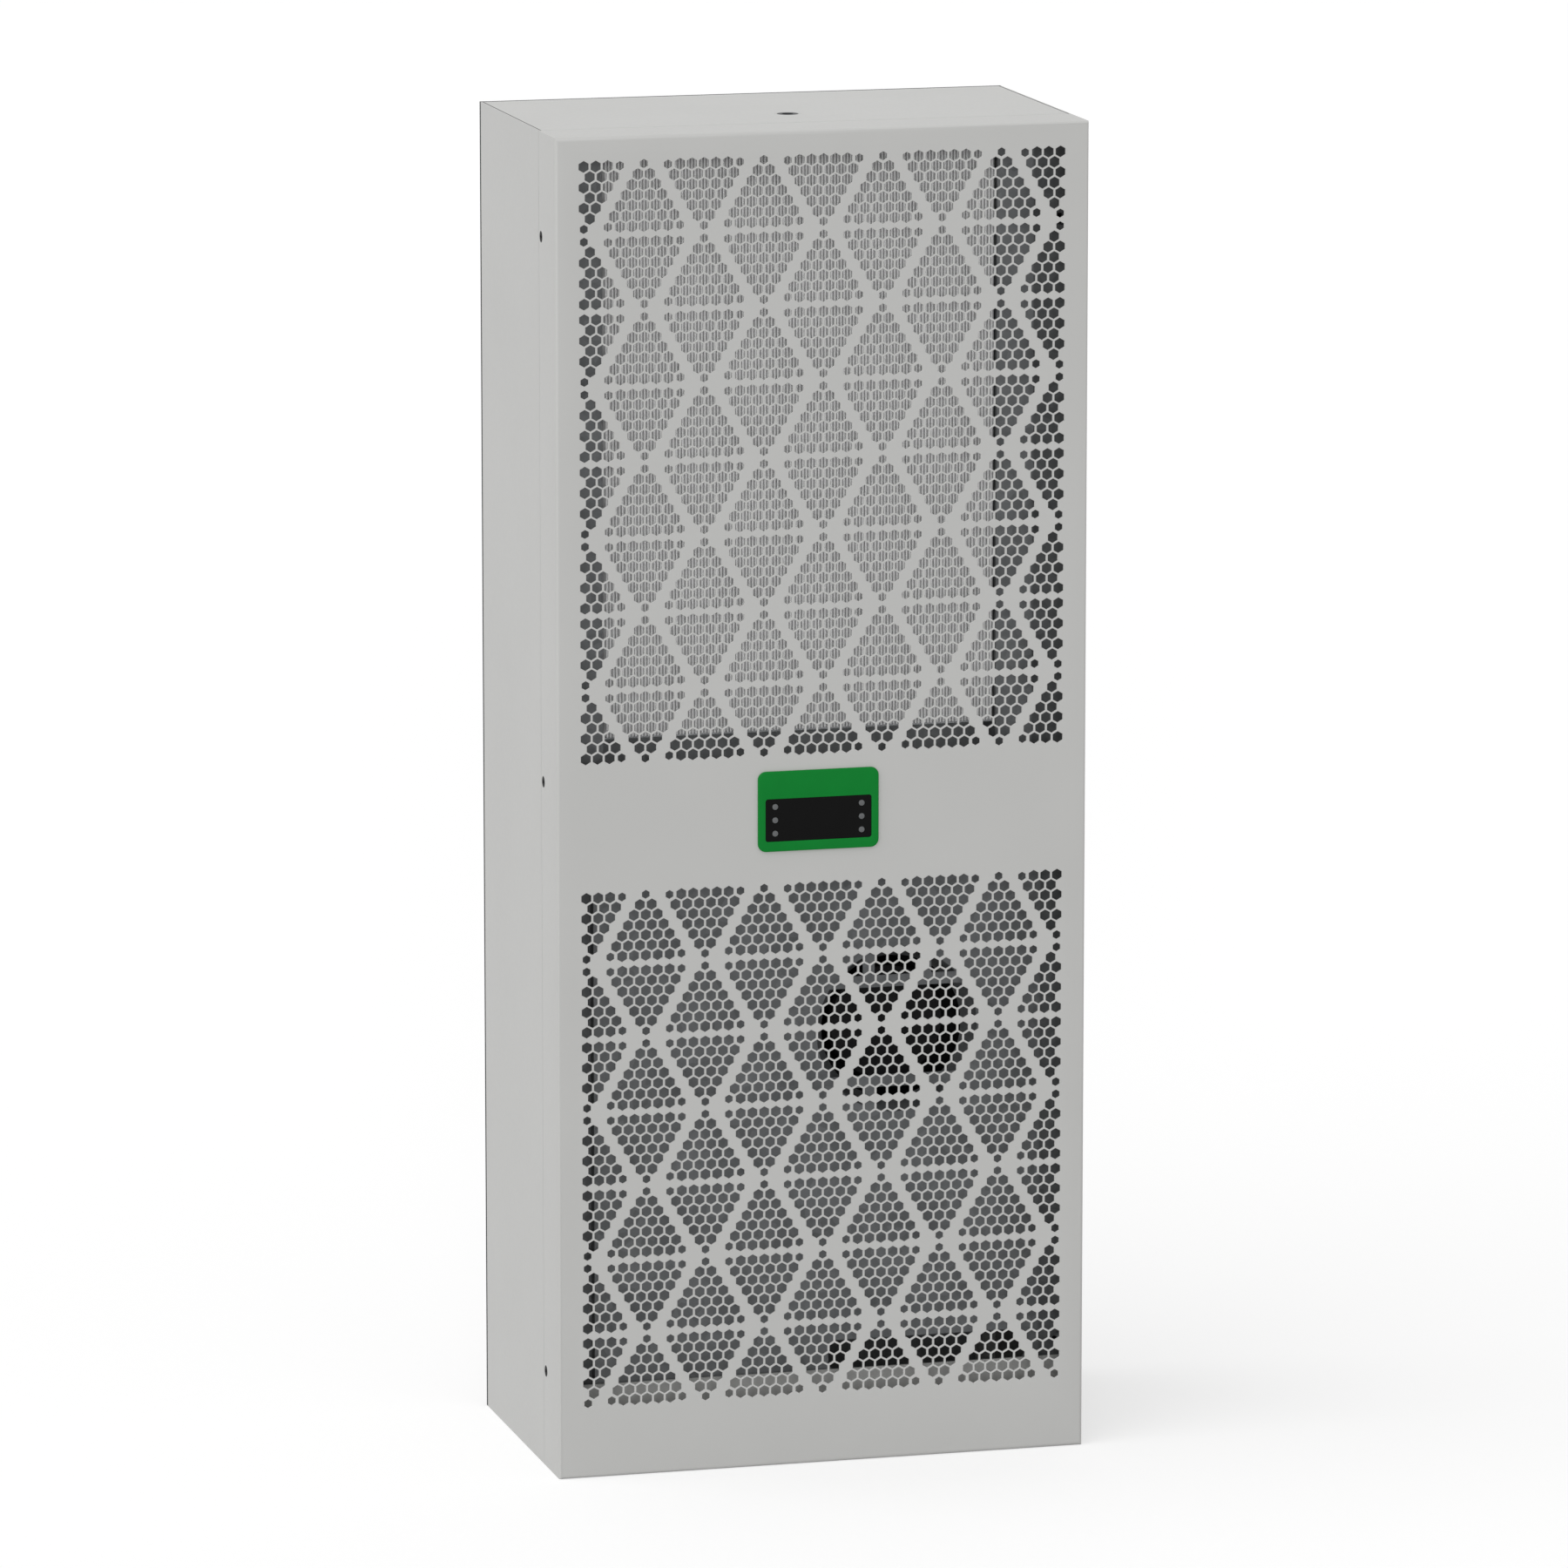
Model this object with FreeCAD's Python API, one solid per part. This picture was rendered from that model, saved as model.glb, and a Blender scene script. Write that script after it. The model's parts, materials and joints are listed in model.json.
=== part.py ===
import FreeCAD, Part
import os
from math import cos, pi, radians, sin, sqrt, tan

# Wall-mounted enclosure cooling unit, in millimetres.
# +Z is up, the pierced front cover faces -Y, the gasket that meets the enclosure faces +Y.
# The origin is the middle of the footprint, on the underside.

# Casing
WIDTH = 404.0
HEIGHT = 1000.0
DEPTH = 236.0            # face of the cover to the back of the gasket
SHEET = 1.5              # casing sheet
INNER_SHEET = 1.2        # sheet of the inner walls
COVER_DEPTH = 48.0       # front cover, face to seam
SEAM_GAP = 0.5
CORNER_GAP = 0.4         # side sheets to the top and bottom sheets
BEND = 3.0               # outer radius of the cover's folds
LIP = 22.0               # how far the case reaches into the cover
LIP_ROOT = 8.0           # overlap of the lip on its own panel
RIM_HEIGHT = 62.0        # upright rim of the bottom panel, above the underside
RIM_GAP = 3.5            # rim to the fan plate behind it
CLEARANCE = 0.4          # round a bolt or pipe in its hole
GASKET_THICK = 4.0
GASKET_WIDTH = 13.0
GASKET_INSET = 1.0

# Pierced pattern of the cover: triangles of holes in bands, every second one upside down
HOLE_PITCH = 9.0
HOLE_WIDTH = 7.5
HOLE_ROWS = 7            # rows in a triangle, and holes in its longest row
COLUMN_HOLES = 5         # column spacing, in hole pitches
BASE_LAND = 6.0          # edge of a band to the middle of the longest row
TIP_LAND = 3.2           # edge of a band to the middle of the corner hole
TOP_MARGIN = 16.0
BOTTOM_MARGIN = 52.0
SIDE_MARGIN = 17.0
PLAIN_Z = 490.0          # middle of the plain band with the controller
PLAIN_HEIGHT = 92.0

# Countersunk cover screws and their nuts
SCREW_R = 2.0
SCREW_HEAD_R = 3.75
SCREW_LENGTH = 11.0
SCREW_BOTTOM = 73.0
SCREW_MIDDLE = 519.0
SCREW_TOP_INSET = 77.0
SCREW_SETBACK = 6.0      # screw axis to the seam
SCREW_CLEARANCE = 0.1
SCREW_SOCKET_R = 1.6
SCREW_SOCKET_DEPTH = 1.2
NUT_R = 4.5
NUT_LENGTH = 6.0
THREAD_GAP = 0.05

# Fastening inserts
INSERT_BORE_R = 2.5      # tapping size of M6
INSERT_R = 4.5
INSERT_FLANGE_R = 6.5
INSERT_FLANGE = 1.0
INSERT_LENGTH = 14.0
INSERT_SIDE = 24.0       # outer columns to the sides of the case
INSERT_END = 40.0        # outer rows to the ends of the case
LIFT_BORE_R = 4.25       # tapping size of M10
LIFT_R = 7.0
LIFT_FLANGE_R = 10.0
LIFT_LENGTH = 20.0
LIFT_AHEAD = 30.0        # lifting thread before the partition

# Inner walls
PLATE_SETBACK = 40.0     # cover face to fan plate
PLATE_LEFT_GAP = 37.0    # side of the case to the raised part of the plate
PLATE_RIGHT_GAP = 23.0
PLATE_TOP = 500.0
PLATE_RETURN = 11.0
GUARD_BAR = 9.0          # width of the bars left across the fan opening
GUARD_LEVEL = 38.0       # middle of the opening to the level bars
GUARD_STRUT = 22.0       # middle of the opening to the struts outside those bars
SLOT_SIDE = 110.0        # middle of the plate's long slot to the right side of the case
SLOT_Z = 72.0
SLOT_WIDTH = 154.0
SLOT_HEIGHT = 22.0
EVAPORATOR_BAY = 97.0    # partition to rear panel
SHELF_Z = 410.0
GROMMET_WALL = 3.0
GROMMET_HEIGHT = 8.0
GROMMET_GROOVE = 1.5

# Condenser
COIL_SETBACK = 30.0      # cover face to coil face
COIL_LEFT_GAP = 42.0     # side of the case to the fins
COIL_RIGHT_GAP = 62.0
COIL_BOTTOM = 552.0
COIL_TOP_INSET = 19.0
COIL_DEPTH = 44.0
FIN_PITCH = 6.0
FIN_THICK = 2.0
FIN_REACH = 8.0
TUBE_R = 4.8
TUBE_PITCH = 54.0
SHEET_EDGE = 2.0         # tube sheet beyond the fins
SHEET_FLANGE = 14.0      # tube sheet on the partition
FRONT_FLANGE = 28.0      # condenser's tube sheet beside the face of the coil
FLANGE_STEP = 16.0       # from there back to the strip that closes the gap to the case
FLANGE_GAP = 1.0         # strip to the lip of the case

# Evaporator
EVAP_SIDE_GAP = 52.0     # side of the case to the fins
EVAP_BOTTOM = 460.0
EVAP_FAN_GAP = 45.0      # top of the fins to the fan's rim
EVAP_DEPTH = 40.0
EVAP_SETBACK = 28.0      # partition to the evaporator's face
TRAY_HEIGHT = 30.0
TRAY_OVERHANG = 8.0      # tray beyond the fins
TRAY_GAP = 5.0
DRAIN_R = 6.0
DRAIN_WALL = 1.5
DRAIN_X = 30.0
DRAIN_GAP = 2.5          # drain pipe to the lid of the electrical box

# Radial fans, both alike
EYE_R = 62.0
FAN_R = 95.0
RING_R = 74.0
RING_SHEET = 1.5
NOZZLE = 16.0
NOZZLE_R = 54.0
EYE_CLEARANCE = 2.5
FAN_DEPTH = 52.0
HUB_GAP = 0.1            # impeller on its rotor
DISC = 2.0               # sheet of the impeller
BLADES = 7
BLADE_THICK = 2.0
BLADE_LEAN = 62.0        # degrees from radial at the rim
BLADE_BOW = 0.4          # share of the lean at half radius
ROTOR_R = 45.0
ROTOR_DEPTH = 38.0
ROTOR_FLANGE = 5.0
ROTOR_WALL = 2.0
SHAFT_R = 6.0
SHAFT_INSET = 2.0        # end of the shaft inside the stator
RUNNING_GAP = 0.05
AIR_GAP = 0.6
STATOR_R = 38.0
STATOR_DEPTH = 8.5
STANDOFF = 78.0          # half of the square of the bracket's legs
LEG_R = 4.0
BRACKET_ARM = 8.0        # half the width of the bracket's crossed arms
BRACKET_SHEET = 2.0
CONDENSER_FAN_SIDE = 134.0
CONDENSER_FAN_Z = 318.0
EVAPORATOR_FAN_INSET = 130.0

# Rear air slots
SLIT_HEIGHT = 9.0
SLIT_PITCH = 16.0
SLIT_WIDTH = 88.0
SLIT_RIB = 8.0
SLIT_COLUMNS = 3
OUTLET_INSET = 15.0      # outlet rows to the ends of the evaporator

# Compressor group
COMPRESSOR_SIDE = 107.0  # axis to the left side of the case
COMPRESSOR_BACK = 91.5   # axis to the rear sheet
COMPRESSOR_R = 60.0
COMPRESSOR_HEIGHT = 188.0
COMPRESSOR_FLAT_R = 38.0
COMPRESSOR_DOME = 20.0
DOME_BOW = 0.3           # how far a dome bows out, as a share of its height
COMPRESSOR_FOOT_R = 12.0
FOOT_THICK = 3.0
FOOT_CIRCLE_R = 76.0
FOOT_LUG_R = 14.0
MOUNT_HEIGHT = 22.0
MOUNT_R = 11.0
STUD_R = 3.0
STUD_GAP = 0.3
STUD_NUT_R = 6.0
STUD_NUT = 5.0
TERMINAL_R = 20.0
TERMINAL_HEIGHT = 26.0
TERMINAL_OFFSET = 16.0
DISCHARGE_OFFSET = 15.0
CAP_ROUND = 2.0          # rounded rim of a cap or capacitor
ACCUMULATOR_R = 24.0
ACCUMULATOR_GAP = 6.0
ACCUMULATOR_TURN = 45.0  # degrees behind the compressor's right side
ACCUMULATOR_BOTTOM = 80.0
ACCUMULATOR_HEIGHT = 110.0
STRAP_HEIGHT = 14.0
STRAP_WIDTH = 9.0

# Pipework
PIPE_R = 4.8
SUCTION_R = 6.0
CAPILLARY_R = 1.6
PIPE_BEND = 14.0
BEND_SHARE = 0.45        # most of a run that one bend may take
PIPE_SIDE = 20.0         # pipes to the left side of the case
RISER_GAP = 12.0         # riser to the partition
CROSS_Z = 345.0          # height of the discharge pipe's sideways run
DRIER_R = 11.0
DRIER_BOTTOM = 392.0
DRIER_TOP = 500.0
DRIER_NECK = 14.0
DRIER_GAP = 1.0          # drier to the flange of the fan plate
CAPILLARY_DROP = 25.0    # capillary's lowest run below the discharge pipe's
SUCTION_SIDE = 30.0      # suction pipe to the left side of the case
SUCTION_LOW = 300.0      # height of its sideways run over the compressor

# Electrical box
BOX_SIDE = 38.0          # box to the right side of the case
BOX_WIDTH = 120.0
BOX_DEPTH = 66.0
BOX_HEIGHT = 184.0
BOX_SHEET = 1.2
LID_FLANGE = 10.0
CAPACITOR_R = 20.0
CAPACITOR_HEIGHT = 90.0
CAPACITOR_INSET = 30.0   # axis to the left wall of the box
INLET_INSET = 38.0       # power inlet to the right wall of the box
INLET_Z = 72.0
INLET_WIDTH = 46.0
INLET_HEIGHT = 18.0
INLET_DEPTH = 16.0
INLET_PROUD = 2.0
INLET_WAYS = 5
INLET_WAY = 5.0

# Controller on the cover
PANEL_X = -4.0
PANEL_Z = 496.5
PANEL_WIDTH = 92.0
PANEL_HEIGHT = 60.0
PANEL_CORNER = 6.0
BEZEL_PROUD = 2.0
WINDOW_WIDTH = 81.0
WINDOW_HEIGHT = 32.0
WINDOW_CORNER = 2.0
WINDOW_DROP = 6.5        # middle of the window below the middle of the panel
WINDOW_SUNK = 0.6
WINDOW_GAP = 0.15
HOUSING_WIDTH = 84.0
HOUSING_HEIGHT = 52.0
HOUSING_DEPTH = 30.0
HOUSING_WALL = 1.5
CUTOUT_GAP = 0.3
BOARD = 1.6
KEY_R = 2.2
KEY_GAP = 0.4
KEY_SPREAD = 33.0        # middle of the panel to a column of keys
KEY_PITCH = 10.0
KEY_PROUD = 0.5
KEY_COLLAR_R = 3.4
KEY_COLLAR = 1.0
KEY_REST_GAP = 0.1
KEY_TRAVEL = 0.4

V = FreeCAD.Vector
parts = {}

# Levels worked out from the sizes above
half = WIDTH / 2
inside = half - SHEET
lip_x = inside - SHEET
end_lip_x = lip_x - SHEET
front_y = BEZEL_PROUD - (DEPTH + BEZEL_PROUD) / 2
seal_y = front_y + DEPTH
rear_y = seal_y - GASKET_THICK
rear_in = rear_y - SHEET
seam_y = front_y + COVER_DEPTH
case_y = seam_y + SEAM_GAP
plate_y = front_y + PLATE_SETBACK
coil_y = front_y + COIL_SETBACK
coil_back = coil_y + COIL_DEPTH
coil_mid = coil_y + COIL_DEPTH / 2
coil_top = HEIGHT - COIL_TOP_INSET
bay_y = rear_in - EVAPORATOR_BAY
wall_y = bay_y - SHEET
evap_y = bay_y + EVAP_SETBACK
evap_mid = evap_y + EVAP_DEPTH / 2
evap_fan_z = HEIGHT - EVAPORATOR_FAN_INSET
evap_top = evap_fan_z - FAN_R - EVAP_FAN_GAP
evap_half = half - EVAP_SIDE_GAP
tray_half = evap_half + TRAY_OVERHANG
coil_left = COIL_LEFT_GAP - half
coil_right = half - COIL_RIGHT_GAP
plate_left = PLATE_LEFT_GAP - half
plate_right = half - PLATE_RIGHT_GAP
slot_x = half - SLOT_SIDE
cond_fan_x = half - CONDENSER_FAN_SIDE
compressor_x = COMPRESSOR_SIDE - half
compressor_y = rear_in - COMPRESSOR_BACK
pipe_x = PIPE_SIDE - half
suction_x = SUCTION_SIDE - half
riser_y = wall_y - RISER_GAP
liquid_y = plate_y + PLATE_RETURN + DRIER_GAP + DRIER_R
box_right = half - BOX_SIDE
box_left = box_right - BOX_WIDTH
box_front = rear_in - BOX_DEPTH
box_top = SHEET + BOX_HEIGHT
inlet_x = box_right - INLET_INSET


def block(x0, x1, y0, y1, z0, z1):
    """Box between two corners."""
    return Part.makeBox(x1 - x0, y1 - y0, z1 - z0, V(x0, y0, z0))


def rod(radius, start, end):
    """Cylinder from one point to another."""
    return Part.makeCylinder(radius, (end - start).Length, start, end - start)


def prism(points, along):
    """Closed outline pushed along a vector."""
    return Part.Face(Part.makePolygon(points + points[:1])).extrude(along)


def spin(profile, centre, axis):
    """Profile of (radius, distance along the axis) points turned about the axis, +Y or +Z."""
    points = [centre + V(r, 0, 0) + axis * d for r, d in profile]
    return Part.Face(Part.makePolygon(points + points[:1])).revolve(centre, axis, 360)


def hexagon(radius, foot, along):
    """Six-sided bar pushed along a vector from its foot, given half its size across corners."""
    turn = FreeCAD.Rotation(V(0, 0, 1), along)
    corners = [V(radius * cos(pi * i / 3), radius * sin(pi * i / 3), 0) for i in range(6)]
    return prism([foot + turn.multVec(c) for c in corners], along)


def round_edges(shape, radius, test):
    """Fillet on the straight edges that pass the test, which gets an edge's two end points."""
    edges = [e for e in shape.Edges if test(e.Vertexes[0].Point, e.Vertexes[-1].Point)]
    return shape.makeFillet(radius, edges)


def rounded_plate(cx, cz, width, height, corner, y0, y1):
    """Plate facing -Y with round corners."""
    plate = block(cx - width / 2, cx + width / 2, y0, y1, cz - height / 2, cz + height / 2)
    return round_edges(plate, corner, lambda a, b: abs(a.y - b.y) > 0.5 * (y1 - y0))


def pipe(points, radius, bend):
    """Round bar along straight runs joined by arcs, each arc held to the runs beside it."""
    edges = []
    last = points[0]
    for before, corner, after in zip(points, points[1:], points[2:]):
        run_in, run_out = corner - before, after - corner
        turn = run_in.getAngle(run_out)
        r = min(bend, BEND_SHARE * min(run_in.Length, run_out.Length) / tan(turn / 2))
        run_in.normalize()
        run_out.normalize()
        bisector = (run_out - run_in).normalize()
        start = corner - run_in * (r * tan(turn / 2))
        end = corner + run_out * (r * tan(turn / 2))
        middle = corner + bisector * (r / cos(turn / 2) - r)
        edges += [Part.makeLine(last, start), Part.Arc(start, middle, end).toShape()]
        last = end
    edges.append(Part.makeLine(last, points[-1]))
    ring = Part.Wire(Part.makeCircle(radius, points[0], points[1] - points[0]))
    return Part.Wire(edges).makePipeShell([ring], True, True)


def sleeve(outer_r, bore_r, start, end):
    """Tube from one point to another."""
    return rod(outer_r, start, end).cut(rod(bore_r, start, end))


# Cover: pierced pattern

row_pitch = HOLE_PITCH * sqrt(3) / 2
band = (HOLE_ROWS - 1) * row_pitch + BASE_LAND + TIP_LAND
column = COLUMN_HOLES * HOLE_PITCH
columns = int((half - SIDE_MARGIN - HOLE_WIDTH / 2) / column)


def window(cx, base_z, up):
    """One triangle of holes as an opening: three long sides, and short ones across the corner holes."""
    inradius = row_pitch * (HOLE_ROWS - 1) / 3
    reach = (inradius + HOLE_WIDTH / 2, 2 * inradius)
    flip = 1 if up else -1
    points = []
    for i in range(6):
        a, b = radians(60 * i - 90), radians(60 * i - 30)
        p, q = reach[i % 2], reach[(i + 1) % 2]
        x = (p * sin(b) - q * sin(a)) / sin(b - a)
        z = (q * cos(a) - p * cos(b)) / sin(b - a)
        points.append(V(cx + x, front_y - SHEET, base_z + flip * (inradius + z)))
    return prism(points, V(0, 3 * SHEET, 0))


def windows(top_z, bands):
    """A field of windows, counted down from its top edge and trimmed at its two sides."""
    edge = columns * column + HOLE_WIDTH / 2
    field = block(-edge, edge, front_y - SHEET, front_y + 2 * SHEET, top_z - bands * band, top_z)
    found = []
    for b in range(bands):
        for k in range(-columns, columns + 1):
            up = (k + b) % 2 == 1
            base_z = top_z - (b + 1) * band + BASE_LAND if up else top_z - b * band - BASE_LAND
            opening = window(k * column, base_z, up)
            found.append(opening.common(field) if abs(k) == columns else opening)
    return found


def screw_points():
    """Head centre and inward direction of every cover screw."""
    y = seam_y - SCREW_SETBACK
    rows = (SCREW_BOTTOM, SCREW_MIDDLE, HEIGHT - SCREW_TOP_INSET)
    return [(V(side * half, y, z), V(-side, 0, 0)) for side in (-1, 1) for z in rows]


def front_cover():
    """Folded tray with the pierced face, the controller's cut-out and countersunk screw holes."""
    def folds(a, b):
        on_face = abs(a.y - b.y) < 1 and max(a.y, b.y) < seam_y - COVER_DEPTH / 2
        return on_face or abs(a.y - b.y) > 1
    tray = round_edges(block(-half, half, front_y, seam_y, 0, HEIGHT), BEND, folds)
    hollow = block(-inside, inside, front_y + SHEET, seam_y + SHEET, SHEET, HEIGHT - SHEET)
    tray = tray.cut(round_edges(hollow, BEND - SHEET, folds))
    upper_top = HEIGHT - TOP_MARGIN
    upper_bands = int((upper_top - PLAIN_Z - PLAIN_HEIGHT / 2) / band)
    lower_bands = int((PLAIN_Z - PLAIN_HEIGHT / 2 - BOTTOM_MARGIN) / band)
    holes = windows(upper_top, upper_bands) + windows(BOTTOM_MARGIN + lower_bands * band, lower_bands)
    wide, tall = HOUSING_WIDTH / 2 + CUTOUT_GAP, HOUSING_HEIGHT / 2 + CUTOUT_GAP
    holes.append(block(PANEL_X - wide, PANEL_X + wide, front_y - SHEET, front_y + 2 * SHEET,
                       PANEL_Z - tall, PANEL_Z + tall))
    for head, inward in screw_points():
        rim = SCREW_HEAD_R + SCREW_CLEARANCE
        holes.append(Part.makeCone(rim, rim - SHEET, SHEET, head, inward))
    return tray.cut(Part.makeCompound(holes))


def cover_screw(head, inward):
    """Countersunk screw with a hexagon socket."""
    cone = SCREW_HEAD_R - SCREW_R
    body = Part.makeCone(SCREW_HEAD_R, SCREW_R, cone, head, inward)
    body = body.fuse(rod(SCREW_R, head + inward * cone, head + inward * SCREW_LENGTH))
    return body.cut(hexagon(SCREW_SOCKET_R, head, inward * SCREW_SOCKET_DEPTH))


parts["front_cover"] = front_cover()
parts["cover_screws"] = [cover_screw(*p) for p in screw_points()]
nut_start = 2 * SHEET
parts["cover_nuts"] = [sleeve(NUT_R, SCREW_R + THREAD_GAP, head + inward * nut_start,
                              head + inward * (nut_start + NUT_LENGTH)) for head, inward in screw_points()]


# Case panels

def side_panel(side):
    """Side sheet with a lip that slips inside the cover."""
    sheet = block(inside, half, case_y, rear_y, 0, HEIGHT)
    lip = block(lip_x, inside, case_y - LIP, case_y + LIP_ROOT, 2 * SHEET, HEIGHT - 2 * SHEET)
    panel = sheet.fuse(lip)
    for head, inward in screw_points():
        if head.x > 0:
            panel = panel.cut(rod(SCREW_R + CLEARANCE, head, head + inward * SCREW_LENGTH))
    return panel if side > 0 else panel.mirror(V(0, 0, 0), V(1, 0, 0))


def end_panel(z0, lip_z0):
    """Top or bottom sheet between the side sheets, with its lip for the cover."""
    sheet_half = inside - CORNER_GAP
    sheet = block(-sheet_half, sheet_half, case_y, rear_in, z0, z0 + SHEET)
    return sheet.fuse(block(-end_lip_x, end_lip_x, case_y - LIP, case_y + LIP_ROOT, lip_z0, lip_z0 + SHEET))


def insert(bore_r, body_r, flange_r, length, seat, outward):
    """Flanged blind-rivet nut: its flange lies on the sheet at seat, its body goes through."""
    nut = rod(flange_r, seat, seat + outward * INSERT_FLANGE).fuse(rod(body_r, seat - outward * length, seat))
    return nut.cut(rod(bore_r, seat - outward * length, seat + outward * INSERT_FLANGE))


def foot_points():
    """Centres of the compressor's three rubber mounts on the bottom sheet."""
    turns = [radians(90 + 120 * i) for i in range(3)]
    axis = V(compressor_x, compressor_y, SHEET)
    return [axis + V(cos(t), sin(t), 0) * FOOT_CIRCLE_R for t in turns]


drain_y = box_front - BOX_SHEET - DRAIN_GAP - DRAIN_R
drain_top = V(DRAIN_X, drain_y, SHELF_Z + SHEET)
drain_foot = V(DRAIN_X, drain_y, 0)
insert_rows = (INSERT_END, HEIGHT / 2, HEIGHT - INSERT_END)
insert_seats = [V(side * (half - INSERT_SIDE), rear_y, z) for side in (-1, 1) for z in insert_rows]
lift_seat = V(0, wall_y - LIFT_AHEAD, HEIGHT - INSERT_FLANGE)


def top_panel():
    """Top sheet, sunk round the lifting insert so that its flange lies flush."""
    sheet = end_panel(HEIGHT - SHEET, HEIGHT - 2 * SHEET)
    pad = rod(LIFT_FLANGE_R + 2 * SHEET, lift_seat - V(0, 0, SHEET), lift_seat)
    sheet = sheet.fuse(pad).cut(rod(LIFT_FLANGE_R + SCREW_CLEARANCE, lift_seat, lift_seat + V(0, 0, SHEET)))
    return sheet.cut(rod(LIFT_R + THREAD_GAP, lift_seat - V(0, 0, LIFT_LENGTH), lift_seat))


def air_slits():
    """Slits of the rear sheet: a round inlet before the fan, a block of rows for the outlet."""
    slits = []
    rows = int(2 * (EYE_R - SLIT_HEIGHT / 2) / SLIT_PITCH)
    for i in range(rows):
        dz = (i - (rows - 1) / 2) * SLIT_PITCH
        reach = sqrt(EYE_R ** 2 - (abs(dz) + SLIT_HEIGHT / 2) ** 2)
        middle = (reach + SLIT_RIB / 2) / 2
        slits += [(side * middle, evap_fan_z + dz, reach - SLIT_RIB / 2) for side in (-1, 1)]
    outlet_rows = int((evap_top - EVAP_BOTTOM - 2 * OUTLET_INSET) / SLIT_PITCH)
    for i in range(outlet_rows):
        z = EVAP_BOTTOM + OUTLET_INSET + (i + 0.5) * SLIT_PITCH
        for k in range(SLIT_COLUMNS):
            slits.append(((k - (SLIT_COLUMNS - 1) / 2) * (SLIT_WIDTH + SLIT_RIB), z, SLIT_WIDTH))
    tall = SLIT_HEIGHT / 2
    return [block(x - w / 2, x + w / 2, rear_in - SHEET, rear_y + SHEET, z - tall, z + tall)
            for x, z, w in slits]


def rear_panel():
    """Rear sheet with air slits, insert holes and the hole of the power inlet."""
    holes = air_slits()
    holes += [rod(INSERT_R + THREAD_GAP, p - V(0, 2 * SHEET, 0), p + V(0, SHEET, 0)) for p in insert_seats]
    holes.append(block(inlet_x - INLET_WIDTH / 2, inlet_x + INLET_WIDTH / 2, rear_in - SHEET, rear_y + SHEET,
                       INLET_Z - INLET_HEIGHT / 2, INLET_Z + INLET_HEIGHT / 2))
    return block(-inside, inside, rear_in, rear_y, 0, HEIGHT).cut(Part.makeCompound(holes))


def rear_gasket():
    """Soft frame round the back of the case."""
    out_x, low, high = half - GASKET_INSET, GASKET_INSET, HEIGHT - GASKET_INSET
    frame = block(-out_x, out_x, rear_y, seal_y, low, high)
    return frame.cut(block(GASKET_WIDTH - out_x, out_x - GASKET_WIDTH, rear_y, seal_y,
                           low + GASKET_WIDTH, high - GASKET_WIDTH))


parts["left_side_panel"] = side_panel(-1)
parts["right_side_panel"] = side_panel(1)
parts["top_panel"] = top_panel()
rim_back = plate_y - RIM_GAP
rim = block(-end_lip_x, end_lip_x, rim_back - SHEET, rim_back, SHEET, RIM_HEIGHT)
bottom = end_panel(0, SHEET).fuse(rim)
bottom = bottom.cut(rod(DRAIN_R + CLEARANCE, drain_foot, drain_foot + V(0, 0, SHEET)))
parts["bottom_panel"] = bottom
parts["rear_panel"] = rear_panel()
parts["rear_gasket"] = rear_gasket()
parts["mounting_inserts"] = [insert(INSERT_BORE_R, INSERT_R, INSERT_FLANGE_R, INSERT_LENGTH, p, V(0, 1, 0))
                             for p in insert_seats]
parts["lifting_insert"] = insert(LIFT_BORE_R, LIFT_R, LIFT_FLANGE_R, LIFT_LENGTH, lift_seat, V(0, 0, 1))


# Inner walls

accumulator_reach = COMPRESSOR_R + ACCUMULATOR_GAP + ACCUMULATOR_R
accumulator_turn = radians(ACCUMULATOR_TURN)
accumulator_foot = V(compressor_x + accumulator_reach * cos(accumulator_turn),
                     compressor_y + accumulator_reach * sin(accumulator_turn), ACCUMULATOR_BOTTOM)
capillary_hole = V(pipe_x, evap_mid, SHELF_Z)
suction_hole = V(suction_x, accumulator_foot.y, SHELF_Z)
grommets = ((capillary_hole, CAPILLARY_R), (suction_hole, SUCTION_R))


def partition_wall():
    """Wall between the two air circuits, folded back into a shelf under the evaporator."""
    wall = block(-inside, inside, wall_y, bay_y, SHELF_Z, HEIGHT - SHEET)
    wall = wall.fuse(block(-inside, inside, wall_y, rear_in, SHELF_Z, SHELF_Z + SHEET))
    up = V(0, 0, SHEET)
    for hole, r in grommets:
        wall = wall.cut(rod(r + GROMMET_WALL, hole - up, hole + up * 2))
    return wall.cut(rod(DRAIN_R + CLEARANCE, drain_top - up * 2, drain_top + up))


def grommet(hole, r):
    """Rubber ring with a groove for the edge of the shelf."""
    low = -GROMMET_HEIGHT / 2 + SHEET / 2
    outer = r + GROMMET_WALL + GROMMET_GROOVE
    ring = [(r + THREAD_GAP, low), (outer, low), (outer, 0), (r + GROMMET_WALL, 0), (r + GROMMET_WALL, SHEET),
            (outer, SHEET), (outer, low + GROMMET_HEIGHT), (r + THREAD_GAP, low + GROMMET_HEIGHT)]
    return spin(ring, hole, V(0, 0, 1))


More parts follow.
